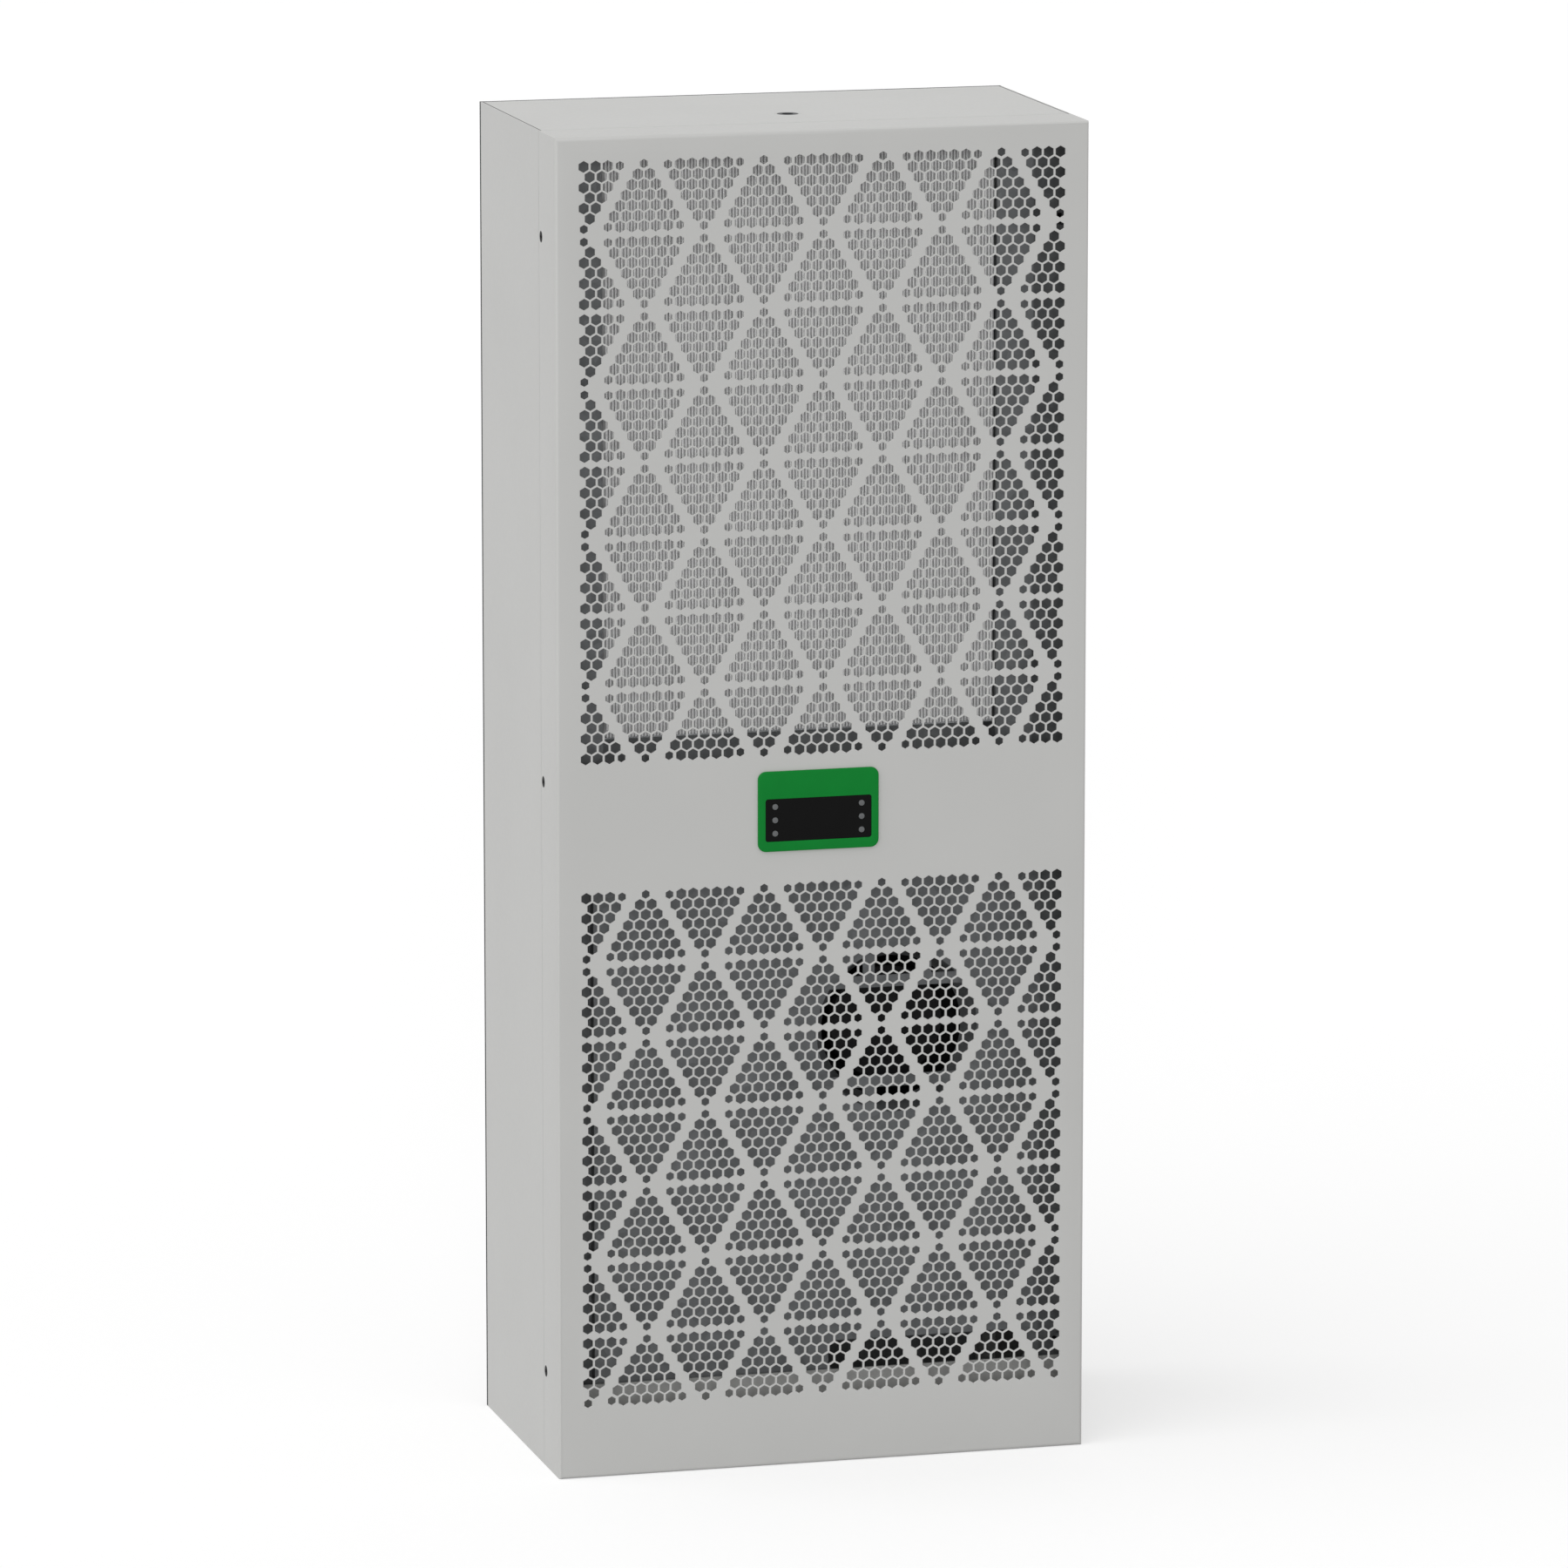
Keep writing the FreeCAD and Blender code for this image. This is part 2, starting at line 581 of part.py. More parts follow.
def fan_opening():
    """Cutter for the fan's round inlet, less the level bars and the struts that stay across it."""
    eye = V(cond_fan_x, plate_y - INNER_SHEET, CONDENSER_FAN_Z)
    back = eye.y + 3 * INNER_SHEET
    hole = rod(EYE_R, eye, V(eye.x, back, eye.z))
    bar = GUARD_BAR / 2
    for side in (-1, 1):
        level = eye.z + side * GUARD_LEVEL
        rim_z = eye.z + side * EYE_R
        hole = hole.cut(block(eye.x - EYE_R, eye.x + EYE_R, eye.y, back, level - bar, level + bar))
        for x in (eye.x - GUARD_STRUT, eye.x + GUARD_STRUT):
            hole = hole.cut(block(x - bar, x + bar, eye.y, back, min(level, rim_z), max(level, rim_z)))
    return hole


def fan_plate():
    """Top-hat sheet behind the lower grille, with the fan's round inlet and a long slot."""
    t = INNER_SHEET
    foot = plate_y + PLATE_RETURN
    outline = [(-lip_x, foot - t), (plate_left, foot - t), (plate_left, plate_y), (plate_right, plate_y),
               (plate_right, foot - t), (lip_x, foot - t), (lip_x, foot), (plate_right - t, foot),
               (plate_right - t, plate_y + t), (plate_left + t, plate_y + t), (plate_left + t, foot),
               (-lip_x, foot)]
    plate_foot = 2 * SHEET
    plate = prism([V(x, y, plate_foot) for x, y in outline], V(0, 0, PLATE_TOP - plate_foot))
    slot = block(slot_x - SLOT_WIDTH / 2, slot_x + SLOT_WIDTH / 2, plate_y - t, plate_y + 2 * t,
                 SLOT_Z - SLOT_HEIGHT / 2, SLOT_Z + SLOT_HEIGHT / 2)
    slot = round_edges(slot, SLOT_HEIGHT / 4, lambda a, b: abs(a.y - b.y) > t)
    return plate.cut(fan_opening()).cut(slot)


parts["partition_wall"] = partition_wall()
parts["shelf_grommets"] = [grommet(*g) for g in grommets]
parts["fan_plate"] = fan_plate()


# Heat exchangers

def finned_core(x0, x1, y0, y1, z0, z1):
    """Fins pressed on their tubes: a comb outline on both faces, pushed up along the fins."""
    count = int((x1 - x0 - FIN_THICK) / FIN_PITCH)
    pitch = (x1 - x0 - FIN_THICK) / count
    near, far = [], []
    for i in range(count):
        a, b = x0 + i * pitch + FIN_THICK, x0 + (i + 1) * pitch
        near += [(a, y0), (a, y0 + FIN_REACH), (b, y0 + FIN_REACH), (b, y0)]
        far += [(a, y1), (a, y1 - FIN_REACH), (b, y1 - FIN_REACH), (b, y1)]
    outline = [(x0, y0)] + near + [(x1, y0), (x1, y1)] + far[::-1] + [(x0, y1)]
    return prism([V(x, y, z0) for x, y in outline], V(0, 0, z1 - z0))


def tube_heights(z0, z1):
    """An even number of tubes at the tube pitch, centred in the core."""
    count = 2 * int((z1 - z0) / TUBE_PITCH / 2)
    return [(z0 + z1) / 2 + (i - (count - 1) / 2) * TUBE_PITCH for i in range(count)]


def return_bends(x_left, x_right, y, heights):
    """Half-round bends that join neighbouring tubes, first at the right end, then at the left."""
    bends = []
    for i, (low, high) in enumerate(zip(heights, heights[1:])):
        x, side = (x_right, -1) if i % 2 == 0 else (x_left, 1)
        ring = Part.Face(Part.Wire(Part.makeCircle(TUBE_R, V(x, y, low), V(1, 0, 0))))
        bends.append(ring.revolve(V(x, y, (low + high) / 2), V(0, side, 0), 180))
    return bends


def tube_sheet(x, side, plan, z0, z1):
    """End sheet of a coil, pushed up from its plan of (distance outwards from the fins, y) points."""
    return prism([V(x + side * out, y, z0) for out, y in plan], V(0, 0, z1 - z0))


def condenser_sheet(x, side):
    """Tube sheet with a flange beside the coil's face, a strip to the case and a flange on the partition."""
    t = INNER_SHEET
    front = coil_y - SHEET_EDGE
    step = front + FLANGE_STEP
    reach = lip_x - FLANGE_GAP - abs(x)
    plan = [(0, front), (FRONT_FLANGE, front), (FRONT_FLANGE, step), (reach, step), (reach, step + t),
            (FRONT_FLANGE - t, step + t), (FRONT_FLANGE - t, front + t), (t, front + t), (t, wall_y - t),
            (SHEET_FLANGE, wall_y - t), (SHEET_FLANGE, wall_y), (0, wall_y)]
    sheet = tube_sheet(x, side, plan, PLATE_TOP, coil_top + SHEET_EDGE)
    for head, inward in screw_points():
        sheet = sheet.cut(rod(NUT_R + CLEARANCE, head, head + inward * (SCREW_LENGTH + CLEARANCE)))
    return sheet


coil_tubes = tube_heights(COIL_BOTTOM, coil_top)
parts["condenser_core"] = finned_core(coil_left, coil_right, coil_y, coil_back, COIL_BOTTOM, coil_top)
parts["condenser_sheets"] = [condenser_sheet(coil_left, -1), condenser_sheet(coil_right, 1)]
coil_end = coil_left - INNER_SHEET
parts["condenser_bends"] = return_bends(coil_end, coil_right + INNER_SHEET, coil_mid, coil_tubes)


def coil_shelf():
    """Stepped sheet that carries the coil and closes the gap down to the fan plate."""
    t = INNER_SHEET
    outline = [(coil_y, COIL_BOTTOM), (coil_y, COIL_BOTTOM - t), (coil_back - t, COIL_BOTTOM - t),
               (coil_back - t, PLATE_TOP + t), (plate_y, PLATE_TOP + t), (plate_y, PLATE_TOP),
               (coil_back, PLATE_TOP), (coil_back, COIL_BOTTOM)]
    return prism([V(coil_left, y, z) for y, z in outline], V(coil_right - coil_left, 0, 0))


parts["coil_shelf"] = coil_shelf()

evap_fold = bay_y + INNER_SHEET
evap_plan = [(0, bay_y), (SHEET_FLANGE, bay_y), (SHEET_FLANGE, evap_fold), (INNER_SHEET, evap_fold),
             (INNER_SHEET, rear_in), (0, rear_in)]
evap_floor = SHELF_Z + SHEET
evap_tubes = tube_heights(EVAP_BOTTOM, evap_top)
evap_sheet_z = evap_floor + TRAY_HEIGHT + TRAY_GAP
parts["evaporator_sheets"] = [tube_sheet(side * evap_half, side, evap_plan, evap_sheet_z, evap_top)
                              for side in (-1, 1)]
parts["evaporator_core"] = finned_core(-evap_half, evap_half, evap_y, evap_y + EVAP_DEPTH,
                                       EVAP_BOTTOM, evap_top)
evap_end = evap_half + INNER_SHEET
parts["evaporator_bends"] = return_bends(-evap_end, evap_end, evap_mid, evap_tubes)
parts["evaporator_baffle"] = block(-evap_end, evap_end, evap_y, rear_in, evap_top, evap_top + INNER_SHEET)


def drip_tray():
    """Open tray on the shelf that catches the condensate, with its drain hole."""
    y0, y1 = bay_y + TRAY_GAP, rear_in - TRAY_GAP
    t = INNER_SHEET
    tray = block(-tray_half, tray_half, y0, y1, evap_floor, evap_floor + TRAY_HEIGHT)
    tray = tray.cut(block(t - tray_half, tray_half - t, y0 + t, y1 - t, evap_floor + t,
                          evap_floor + TRAY_HEIGHT))
    return tray.cut(rod(DRAIN_R - DRAIN_WALL, drain_top, drain_top + V(0, 0, t)))


parts["drip_tray"] = drip_tray()
parts["drain_pipe"] = sleeve(DRAIN_R, DRAIN_R - DRAIN_WALL, drain_foot, drain_top)


# Radial fans

def blade(turn):
    """Backward-curved blade: an arc from the eye to the rim, as a thin curved strip."""
    inner, outer = EYE_R + EYE_CLEARANCE, FAN_R - DISC / 2
    sweep = radians(BLADE_LEAN) / 2

    def at(r, angle, y):
        return V(r * cos(turn + angle), y, r * sin(turn + angle))
    y = NOZZLE
    middle = (inner + outer) / 2
    lines = []
    for shift in (0, BLADE_THICK / middle):
        bowed = at(middle, shift + BLADE_BOW * sweep, y)
        lines.append((at(inner, shift, y), bowed, at(outer, shift + sweep, y)))
    (a, b, c), (d, e, f) = lines
    near, far = Part.Arc(a, b, c).toShape(), Part.Arc(f, e, d).toShape()
    outline = Part.Wire([near, Part.makeLine(c, f), far, Part.makeLine(d, a)])
    return Part.Face(outline).extrude(V(0, FAN_DEPTH - DISC, 0))


def radial_fan(name, place):
    """Fan drawn with its inlet at y = 0 and its motor behind, then put in place."""
    origin, back = V(0, 0, 0), V(0, 1, 0)
    hub = NOZZLE + FAN_DEPTH - DISC
    rear = NOZZLE + FAN_DEPTH
    t = RING_SHEET
    ring = [(EYE_R, 0), (RING_R, 0), (RING_R, t), (EYE_R + t, t), (NOZZLE_R + t, NOZZLE), (NOZZLE_R, NOZZLE)]
    eye = NOZZLE_R + t + EYE_CLEARANCE
    shroud = [(eye, NOZZLE - DISC), (FAN_R, NOZZLE), (FAN_R, NOZZLE + DISC), (eye, NOZZLE)]
    disc = [(ROTOR_R + HUB_GAP, hub), (FAN_R, hub), (FAN_R, rear), (ROTOR_R + HUB_GAP, rear)]
    wheel = spin(shroud, origin, back).fuse(spin(disc, origin, back))
    wheel = wheel.fuse([blade(2 * pi * i / BLADES) for i in range(BLADES)])
    can_front = rear - ROTOR_DEPTH
    flange_r = ROTOR_R + ROTOR_FLANGE
    stator_front = rear + ROTOR_WALL + AIR_GAP
    stator_back = stator_front + STATOR_DEPTH
    shaft_end = stator_back - SHAFT_INSET
    flange_back = rear + ROTOR_WALL
    can = [(0, can_front), (ROTOR_R - ROTOR_WALL, can_front), (ROTOR_R, can_front + ROTOR_WALL),
           (ROTOR_R, rear), (flange_r, rear), (flange_r, flange_back), (SHAFT_R, flange_back),
           (SHAFT_R, shaft_end), (0, shaft_end)]
    stator = [(SHAFT_R + RUNNING_GAP, stator_front), (STATOR_R, stator_front), (STATOR_R, stator_back),
              (SHAFT_R + RUNNING_GAP, stator_back)]
    bracket_back = stator_back + BRACKET_SHEET
    bracket = rod(STATOR_R + BRACKET_ARM, back * stator_back, back * bracket_back)
    reach = sqrt(2) * STANDOFF + BRACKET_ARM
    for turn in (45, 135):
        arm = block(-reach, reach, stator_back, bracket_back, -BRACKET_ARM, BRACKET_ARM)
        arm.rotate(origin, back, turn)
        bracket = bracket.fuse(arm)
    corners = [V(sx * STANDOFF, 0, sz * STANDOFF) for sx in (-1, 1) for sz in (-1, 1)]
    bracket = bracket.fuse([rod(LEG_R, c, c + back * stator_back) for c in corners])
    pieces = {"inlet_ring": spin(ring, origin, back), "impeller": wheel, "rotor": spin(can, origin, back),
              "stator": spin(stator, origin, back), "fan_bracket": bracket}
    for piece, shape in pieces.items():
        shape.Placement = place.multiply(shape.Placement)
        parts[name + "_" + piece] = shape


forward = FreeCAD.Rotation(V(0, 0, 1), 0)
turned = FreeCAD.Rotation(V(0, 0, 1), 180)
radial_fan("condenser", FreeCAD.Placement(V(cond_fan_x, plate_y + INNER_SHEET, CONDENSER_FAN_Z), forward))
radial_fan("evaporator", FreeCAD.Placement(V(0, rear_in, evap_fan_z), turned))


# Compressor group

def compressor_foot():
    """Three-cornered base plate welded under the shell, each corner round about its stud."""
    up, thick = V(0, 0, MOUNT_HEIGHT), V(0, 0, FOOT_THICK)
    axis = V(compressor_x, compressor_y, SHEET)
    spread = 1 + 2 * FOOT_LUG_R / FOOT_CIRCLE_R
    plate = prism([axis + (p - axis) * spread + up for p in foot_points()], thick)
    plate = round_edges(plate, FOOT_LUG_R, lambda a, b: abs(a.z - b.z) > FOOT_THICK / 2)
    return plate.cut([rod(STUD_R + STUD_GAP, p + up, p + up + thick) for p in foot_points()])


def rounded_vessel(centre, radius, height, flat_r, dome, foot_r):
    """Upright welded vessel: rounded foot, straight wall and a domed top with a small flat."""
    wall_top = height - dome
    bow = DOME_BOW * dome
    crown = V((radius + flat_r) / 2 + bow, 0, height - dome / 2 + bow)
    heel = foot_r * (1 - sqrt(0.5))
    points = [V(0, 0, 0), V(radius - foot_r, 0, 0), V(radius, 0, foot_r), V(radius, 0, wall_top),
              V(flat_r, 0, height), V(0, 0, height)]
    edges = [Part.makeLine(points[0], points[1]),
             Part.Arc(points[1], V(radius - heel, 0, heel), points[2]).toShape(),
             Part.makeLine(points[2], points[3]), Part.Arc(points[3], crown, points[4]).toShape(),
             Part.makeLine(points[4], points[5]), Part.makeLine(points[5], points[0])]
    vessel = Part.Face(Part.Wire(edges)).revolve(V(0, 0, 0), V(0, 0, 1), 360)
    vessel.translate(centre)
    return vessel


shell_foot = V(compressor_x, compressor_y, SHEET + MOUNT_HEIGHT + FOOT_THICK)
shell_top = shell_foot + V(0, 0, COMPRESSOR_HEIGHT)
shell = rounded_vessel(shell_foot, COMPRESSOR_R, COMPRESSOR_HEIGHT, COMPRESSOR_FLAT_R, COMPRESSOR_DOME,
                       COMPRESSOR_FOOT_R)
parts["compressor_shell"] = shell.fuse(compressor_foot())



def compressor_stud(foot):
    """Stud from the bottom sheet through a rubber mount, with its nut on the base plate."""
    seat = foot + V(0, 0, MOUNT_HEIGHT + FOOT_THICK)
    stud = rod(STUD_R, foot, seat + V(0, 0, STUD_NUT + STUD_R))
    return stud.fuse(hexagon(STUD_NUT_R, seat, V(0, 0, STUD_NUT)))


def round_cap(radius, foot, height):
    """Upright can with a rounded upper rim."""
    can = rod(radius, foot, foot + V(0, 0, height))
    return can.makeFillet(CAP_ROUND, [e for e in can.Edges if e.BoundBox.ZMin > foot.z + height / 2])


parts["compressor_mounts"] = [sleeve(MOUNT_R, STUD_R + STUD_GAP, p, p + V(0, 0, MOUNT_HEIGHT))
                              for p in foot_points()]
parts["compressor_studs"] = [compressor_stud(p) for p in foot_points()]
parts["terminal_cover"] = round_cap(TERMINAL_R, shell_top + V(TERMINAL_OFFSET, 0, 0), TERMINAL_HEIGHT)


accumulator_top = accumulator_foot + V(0, 0, ACCUMULATOR_HEIGHT)
accumulator = rounded_vessel(accumulator_foot, ACCUMULATOR_R, ACCUMULATOR_HEIGHT, SUCTION_R,
                             ACCUMULATOR_R / 2, ACCUMULATOR_R / 2)


def accumulator_strap():
    """Band round the accumulator, with a tab that reaches the compressor's wall."""
    foot = accumulator_foot + V(0, 0, (ACCUMULATOR_HEIGHT - STRAP_HEIGHT) / 2)
    tab = block(0, accumulator_reach, -STRAP_WIDTH / 2, STRAP_WIDTH / 2, foot.z, foot.z + STRAP_HEIGHT)
    tab.rotate(V(0, 0, 0), V(0, 0, 1), ACCUMULATOR_TURN)
    tab.translate(V(compressor_x, compressor_y, 0))
    band = rod(ACCUMULATOR_R + SHEET, foot, foot + V(0, 0, STRAP_HEIGHT))
    return band.fuse(tab).cut(shell).cut(accumulator)


parts["accumulator_strap"] = accumulator_strap()

inlet_drop = ACCUMULATOR_BOTTOM - 2 * PIPE_BEND
inlet = pipe([accumulator_foot, V(accumulator_foot.x, accumulator_foot.y, inlet_drop),
              V(compressor_x, compressor_y, inlet_drop)], PIPE_R, PIPE_BEND)
parts["accumulator"] = accumulator.fuse(inlet.cut(shell))


# Pipework

gas_in = V(compressor_x - DISCHARGE_OFFSET, riser_y, shell_top.z)
discharge = [gas_in, V(gas_in.x, riser_y, CROSS_Z), V(pipe_x, riser_y, CROSS_Z),
             V(pipe_x, riser_y, coil_tubes[-1]), V(pipe_x, coil_mid, coil_tubes[-1]),
             V(coil_end, coil_mid, coil_tubes[-1])]
liquid = [V(coil_end, coil_mid, coil_tubes[0]), V(pipe_x, coil_mid, coil_tubes[0]),
          V(pipe_x, liquid_y, coil_tubes[0]), V(pipe_x, liquid_y, DRIER_TOP)]
capillary_low = CROSS_Z - CAPILLARY_DROP
capillary = [V(pipe_x, liquid_y, DRIER_BOTTOM), V(pipe_x, liquid_y, capillary_low),
             V(pipe_x, evap_mid, capillary_low), V(pipe_x, evap_mid, evap_tubes[0]),
             V(-evap_end, evap_mid, evap_tubes[0])]
suction = [V(-evap_end, evap_mid, evap_tubes[-1]), V(suction_x, evap_mid, evap_tubes[-1]),
           V(suction_x, suction_hole.y, evap_tubes[-1]), V(suction_x, suction_hole.y, SUCTION_LOW),
           V(accumulator_top.x, suction_hole.y, SUCTION_LOW), accumulator_top]
parts["discharge_pipe"] = pipe(discharge, PIPE_R, PIPE_BEND)
parts["liquid_pipe"] = pipe(liquid, PIPE_R, PIPE_BEND)
parts["capillary_tube"] = pipe(capillary, CAPILLARY_R, PIPE_BEND)
parts["suction_pipe"] = pipe(suction, SUCTION_R, PIPE_BEND)
drier = [(0, DRIER_BOTTOM), (PIPE_R, DRIER_BOTTOM), (DRIER_R, DRIER_BOTTOM + DRIER_NECK),
         (DRIER_R, DRIER_TOP - DRIER_NECK), (PIPE_R, DRIER_TOP), (0, DRIER_TOP)]
parts["filter_drier"] = spin(drier, V(pipe_x, liquid_y, 0), V(0, 0, 1))


# Electrical box

inlet_body = block(inlet_x - INLET_WIDTH / 2, inlet_x + INLET_WIDTH / 2,
                   rear_in - INLET_DEPTH, rear_y + INLET_PROUD,
                   INLET_Z - INLET_HEIGHT / 2, INLET_Z + INLET_HEIGHT / 2)
wall = BOX_SHEET
box = block(box_left, box_right, box_front, rear_in, SHEET, box_top)
box = box.cut(block(box_left + wall, box_right - wall, box_front, rear_in - wall,
                    SHEET + wall, box_top - wall))
parts["electrical_box"] = box.cut(inlet_body)
lid_back = box_front + LID_FLANGE
lid = block(box_left - wall, box_right + wall, box_front - wall, lid_back, SHEET, box_top + wall)
parts["electrical_lid"] = lid.cut(block(box_left, box_right, box_front, lid_back, SHEET, box_top))
capacitor_foot = V(box_left + CAPACITOR_INSET, (box_front + rear_in) / 2, SHEET + wall)
parts["run_capacitor"] = round_cap(CAPACITOR_R, capacitor_foot, CAPACITOR_HEIGHT)
ways = []
for i in range(INLET_WAYS):
    x = inlet_x + (i - (INLET_WAYS - 1) / 2) * INLET_WIDTH / (INLET_WAYS + 1)
    ways.append(block(x - INLET_WAY / 2, x + INLET_WAY / 2, rear_in, rear_y + INLET_PROUD,
                      INLET_Z - INLET_WAY, INLET_Z + INLET_WAY))
parts["power_inlet"] = inlet_body.cut(Part.makeCompound(ways))


# Controller

bezel_y = front_y - BEZEL_PROUD
window_z = PANEL_Z - WINDOW_DROP
wall_back = front_y + HOUSING_WALL
collar_y = wall_back + KEY_REST_GAP
board_y = collar_y + KEY_COLLAR + 2 * KEY_TRAVEL
key_spots = {"key_" + side + "_" + row: V(PANEL_X + sx * KEY_SPREAD, 0, window_z + sz * KEY_PITCH)
             for side, sx in (("left", -1), ("right", 1))
             for row, sz in (("top", 1), ("middle", 0), ("bottom", -1))}


def key_holes(y0, y1):
    """Clear holes for the six keys."""
    spots = key_spots.values()
    return Part.makeCompound([rod(KEY_R + KEY_GAP, p + V(0, y0, 0), p + V(0, y1, 0)) for p in spots])


bezel = rounded_plate(PANEL_X, PANEL_Z, PANEL_WIDTH, PANEL_HEIGHT, PANEL_CORNER, bezel_y, front_y)
parts["controller_bezel"] = bezel.cut(rounded_plate(PANEL_X, window_z, WINDOW_WIDTH, WINDOW_HEIGHT,
                                                    WINDOW_CORNER, bezel_y, front_y))
glass = rounded_plate(PANEL_X, window_z, WINDOW_WIDTH - 2 * WINDOW_GAP, WINDOW_HEIGHT - 2 * WINDOW_GAP,
                      WINDOW_CORNER - WINDOW_GAP, bezel_y + WINDOW_SUNK, front_y)
parts["display_window"] = glass.cut(key_holes(bezel_y, front_y))


def housing_box(inset, y0, y1):
    """Block of the controller housing, smaller by inset all round."""
    wide, tall = HOUSING_WIDTH / 2 - inset, HOUSING_HEIGHT / 2 - inset
    return block(PANEL_X - wide, PANEL_X + wide, y0, y1, PANEL_Z - tall, PANEL_Z + tall)


housing_back = front_y + HOUSING_DEPTH
housing = housing_box(0, front_y, housing_back).cut(housing_box(HOUSING_WALL, wall_back, housing_back))
parts["controller_housing"] = housing.cut(key_holes(front_y, wall_back))
parts["controller_board"] = housing_box(HOUSING_WALL, board_y, board_y + BOARD)
parts["controller_back"] = housing_box(0, housing_back, housing_back + HOUSING_WALL)
for name, spot in key_spots.items():
    tip = spot + V(0, bezel_y + WINDOW_SUNK - KEY_PROUD, 0)
    collar = spot + V(0, collar_y, 0)
    parts[name] = rod(KEY_R, tip, collar).fuse(rod(KEY_COLLAR_R, collar, collar + V(0, KEY_COLLAR, 0)))


os.makedirs("parts", exist_ok=True)
for name, shape in parts.items():
    solids = shape if isinstance(shape, list) else [shape]
    whole = Part.makeCompound([s for group in solids for s in group.Solids])
    whole.exportStep("parts/" + name + ".step")
print(len(parts), "nodes")
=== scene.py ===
# %% [markdown]
# This lesson dresses a wall-mounted cooling unit for electrical enclosures. It is a steel case one metre
# high with a pierced cover in front, a finned coil behind the cover's upper half and a fan behind its lower
# half. The solid model already holds every piece at its real size and place, so it is loaded first and used
# as a fixed frame. What the eye misses in plain solids, such as thousands of small holes, thin fins, soft
# edges and surface finish, is then made here.

# %% Load the frame
import json
from math import radians

import bmesh
import bpy
import numpy as np
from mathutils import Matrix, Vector, geometry


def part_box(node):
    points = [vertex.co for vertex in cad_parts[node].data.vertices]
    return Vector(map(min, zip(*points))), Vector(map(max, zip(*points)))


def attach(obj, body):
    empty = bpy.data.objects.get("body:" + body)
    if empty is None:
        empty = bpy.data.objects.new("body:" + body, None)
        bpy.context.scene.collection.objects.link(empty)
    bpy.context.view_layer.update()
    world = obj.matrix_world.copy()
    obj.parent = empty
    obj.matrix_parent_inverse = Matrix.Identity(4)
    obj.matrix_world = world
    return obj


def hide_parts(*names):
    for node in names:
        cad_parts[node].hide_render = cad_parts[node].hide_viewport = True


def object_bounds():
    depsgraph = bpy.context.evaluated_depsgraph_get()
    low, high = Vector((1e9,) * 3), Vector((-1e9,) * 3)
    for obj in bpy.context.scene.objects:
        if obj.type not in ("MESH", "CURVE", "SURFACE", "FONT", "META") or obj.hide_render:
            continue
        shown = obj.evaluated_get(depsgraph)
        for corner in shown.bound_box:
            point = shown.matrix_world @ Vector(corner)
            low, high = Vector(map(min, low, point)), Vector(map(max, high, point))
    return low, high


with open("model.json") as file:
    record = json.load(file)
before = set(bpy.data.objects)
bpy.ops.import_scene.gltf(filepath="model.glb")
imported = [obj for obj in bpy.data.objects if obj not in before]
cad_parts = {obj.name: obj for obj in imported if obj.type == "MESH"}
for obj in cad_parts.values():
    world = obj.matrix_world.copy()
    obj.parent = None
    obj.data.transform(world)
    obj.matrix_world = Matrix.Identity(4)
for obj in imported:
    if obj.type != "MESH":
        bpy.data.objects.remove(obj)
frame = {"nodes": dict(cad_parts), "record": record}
cad_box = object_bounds()
scene = bpy.context.scene
MM = 0.001
print(len(frame["nodes"]), "solid pieces in a box from", cad_box[0], "to", cad_box[1])

# %% [markdown]
# The photograph was taken from far away with a long lens, a little to the left of the unit and a little
# above it, so upright edges stay nearly parallel. A camera could be set by eye, but the corners of the case
# fix it better: the place and the two angles below put all of them where the photograph has them.

# %% Camera
PHOTO_PIXELS = 1800
FOCAL_PIXELS = 11460
SENSOR_MM = 36.0
CAMERA_PLACE = (-1.8930, -7.0977, 1.8684)    # metres
CAMERA_TURN = radians(14.943)    # to the right of straight ahead
CAMERA_DIP = radians(10.597)     # below the horizon

camera = bpy.data.objects.new("camera", bpy.data.cameras.new("camera"))
camera.data.sensor_width = SENSOR_MM
camera.data.lens = SENSOR_MM * FOCAL_PIXELS / PHOTO_PIXELS
camera.location = CAMERA_PLACE
camera.rotation_euler = (radians(90) - CAMERA_DIP, 0, -CAMERA_TURN)
scene.collection.objects.link(camera)
scene.camera = camera
print("lens of", round(camera.data.lens, 1), "mm")

# %% [markdown]
# Colours are written as sRGB hex values, the way a paint chart or a picture editor gives them. A shader
# works with linear light, so one function turns the code into linear numbers. A second function adds one
# node to a tree: its settings by name, and its sockets either as a value or as a link from another node.

# %% Colours and nodes
def linear(code):
    """Linear red, green, blue and alpha of a code such as "#C4C4C2", by the sRGB curve."""
    srgb = np.array([int(code[i:i + 2], 16) for i in (1, 3, 5)]) / 255
    curve = np.where(srgb <= 0.04045, srgb / 12.92, ((srgb + 0.055) / 1.055) ** 2.4)
    return (*curve.tolist(), 1.0)


def add(tree, kind, sockets=None, **settings):
    """Add a node. Each entry of sockets is a value to set or another node's output to link."""
    node = tree.nodes.new("ShaderNode" + kind)
    for name, value in settings.items():
        setattr(node, name, value)
    for name, value in (sockets or {}).items():
        if isinstance(value, bpy.types.NodeSocket):
            tree.links.new(value, node.inputs[name])
        else:
            node.inputs[name].default_value = value
    return node


print("mid grey is", [round(v, 3) for v in linear("#808080")])

# %% [markdown]
# The unit stands on a plain white floor under soft light from a high window on the left. A white room could
# be built, but its bounce would flood the cover. Here the world and the floor look white to the camera, to
# mirrors and through glass, and give a lower, even light to everything else. One broad sun makes the top
# brightest, then the left side, and leaves a soft shadow on the floor. A weaker lamp beside the camera shines
# through the holes on what lies behind them.

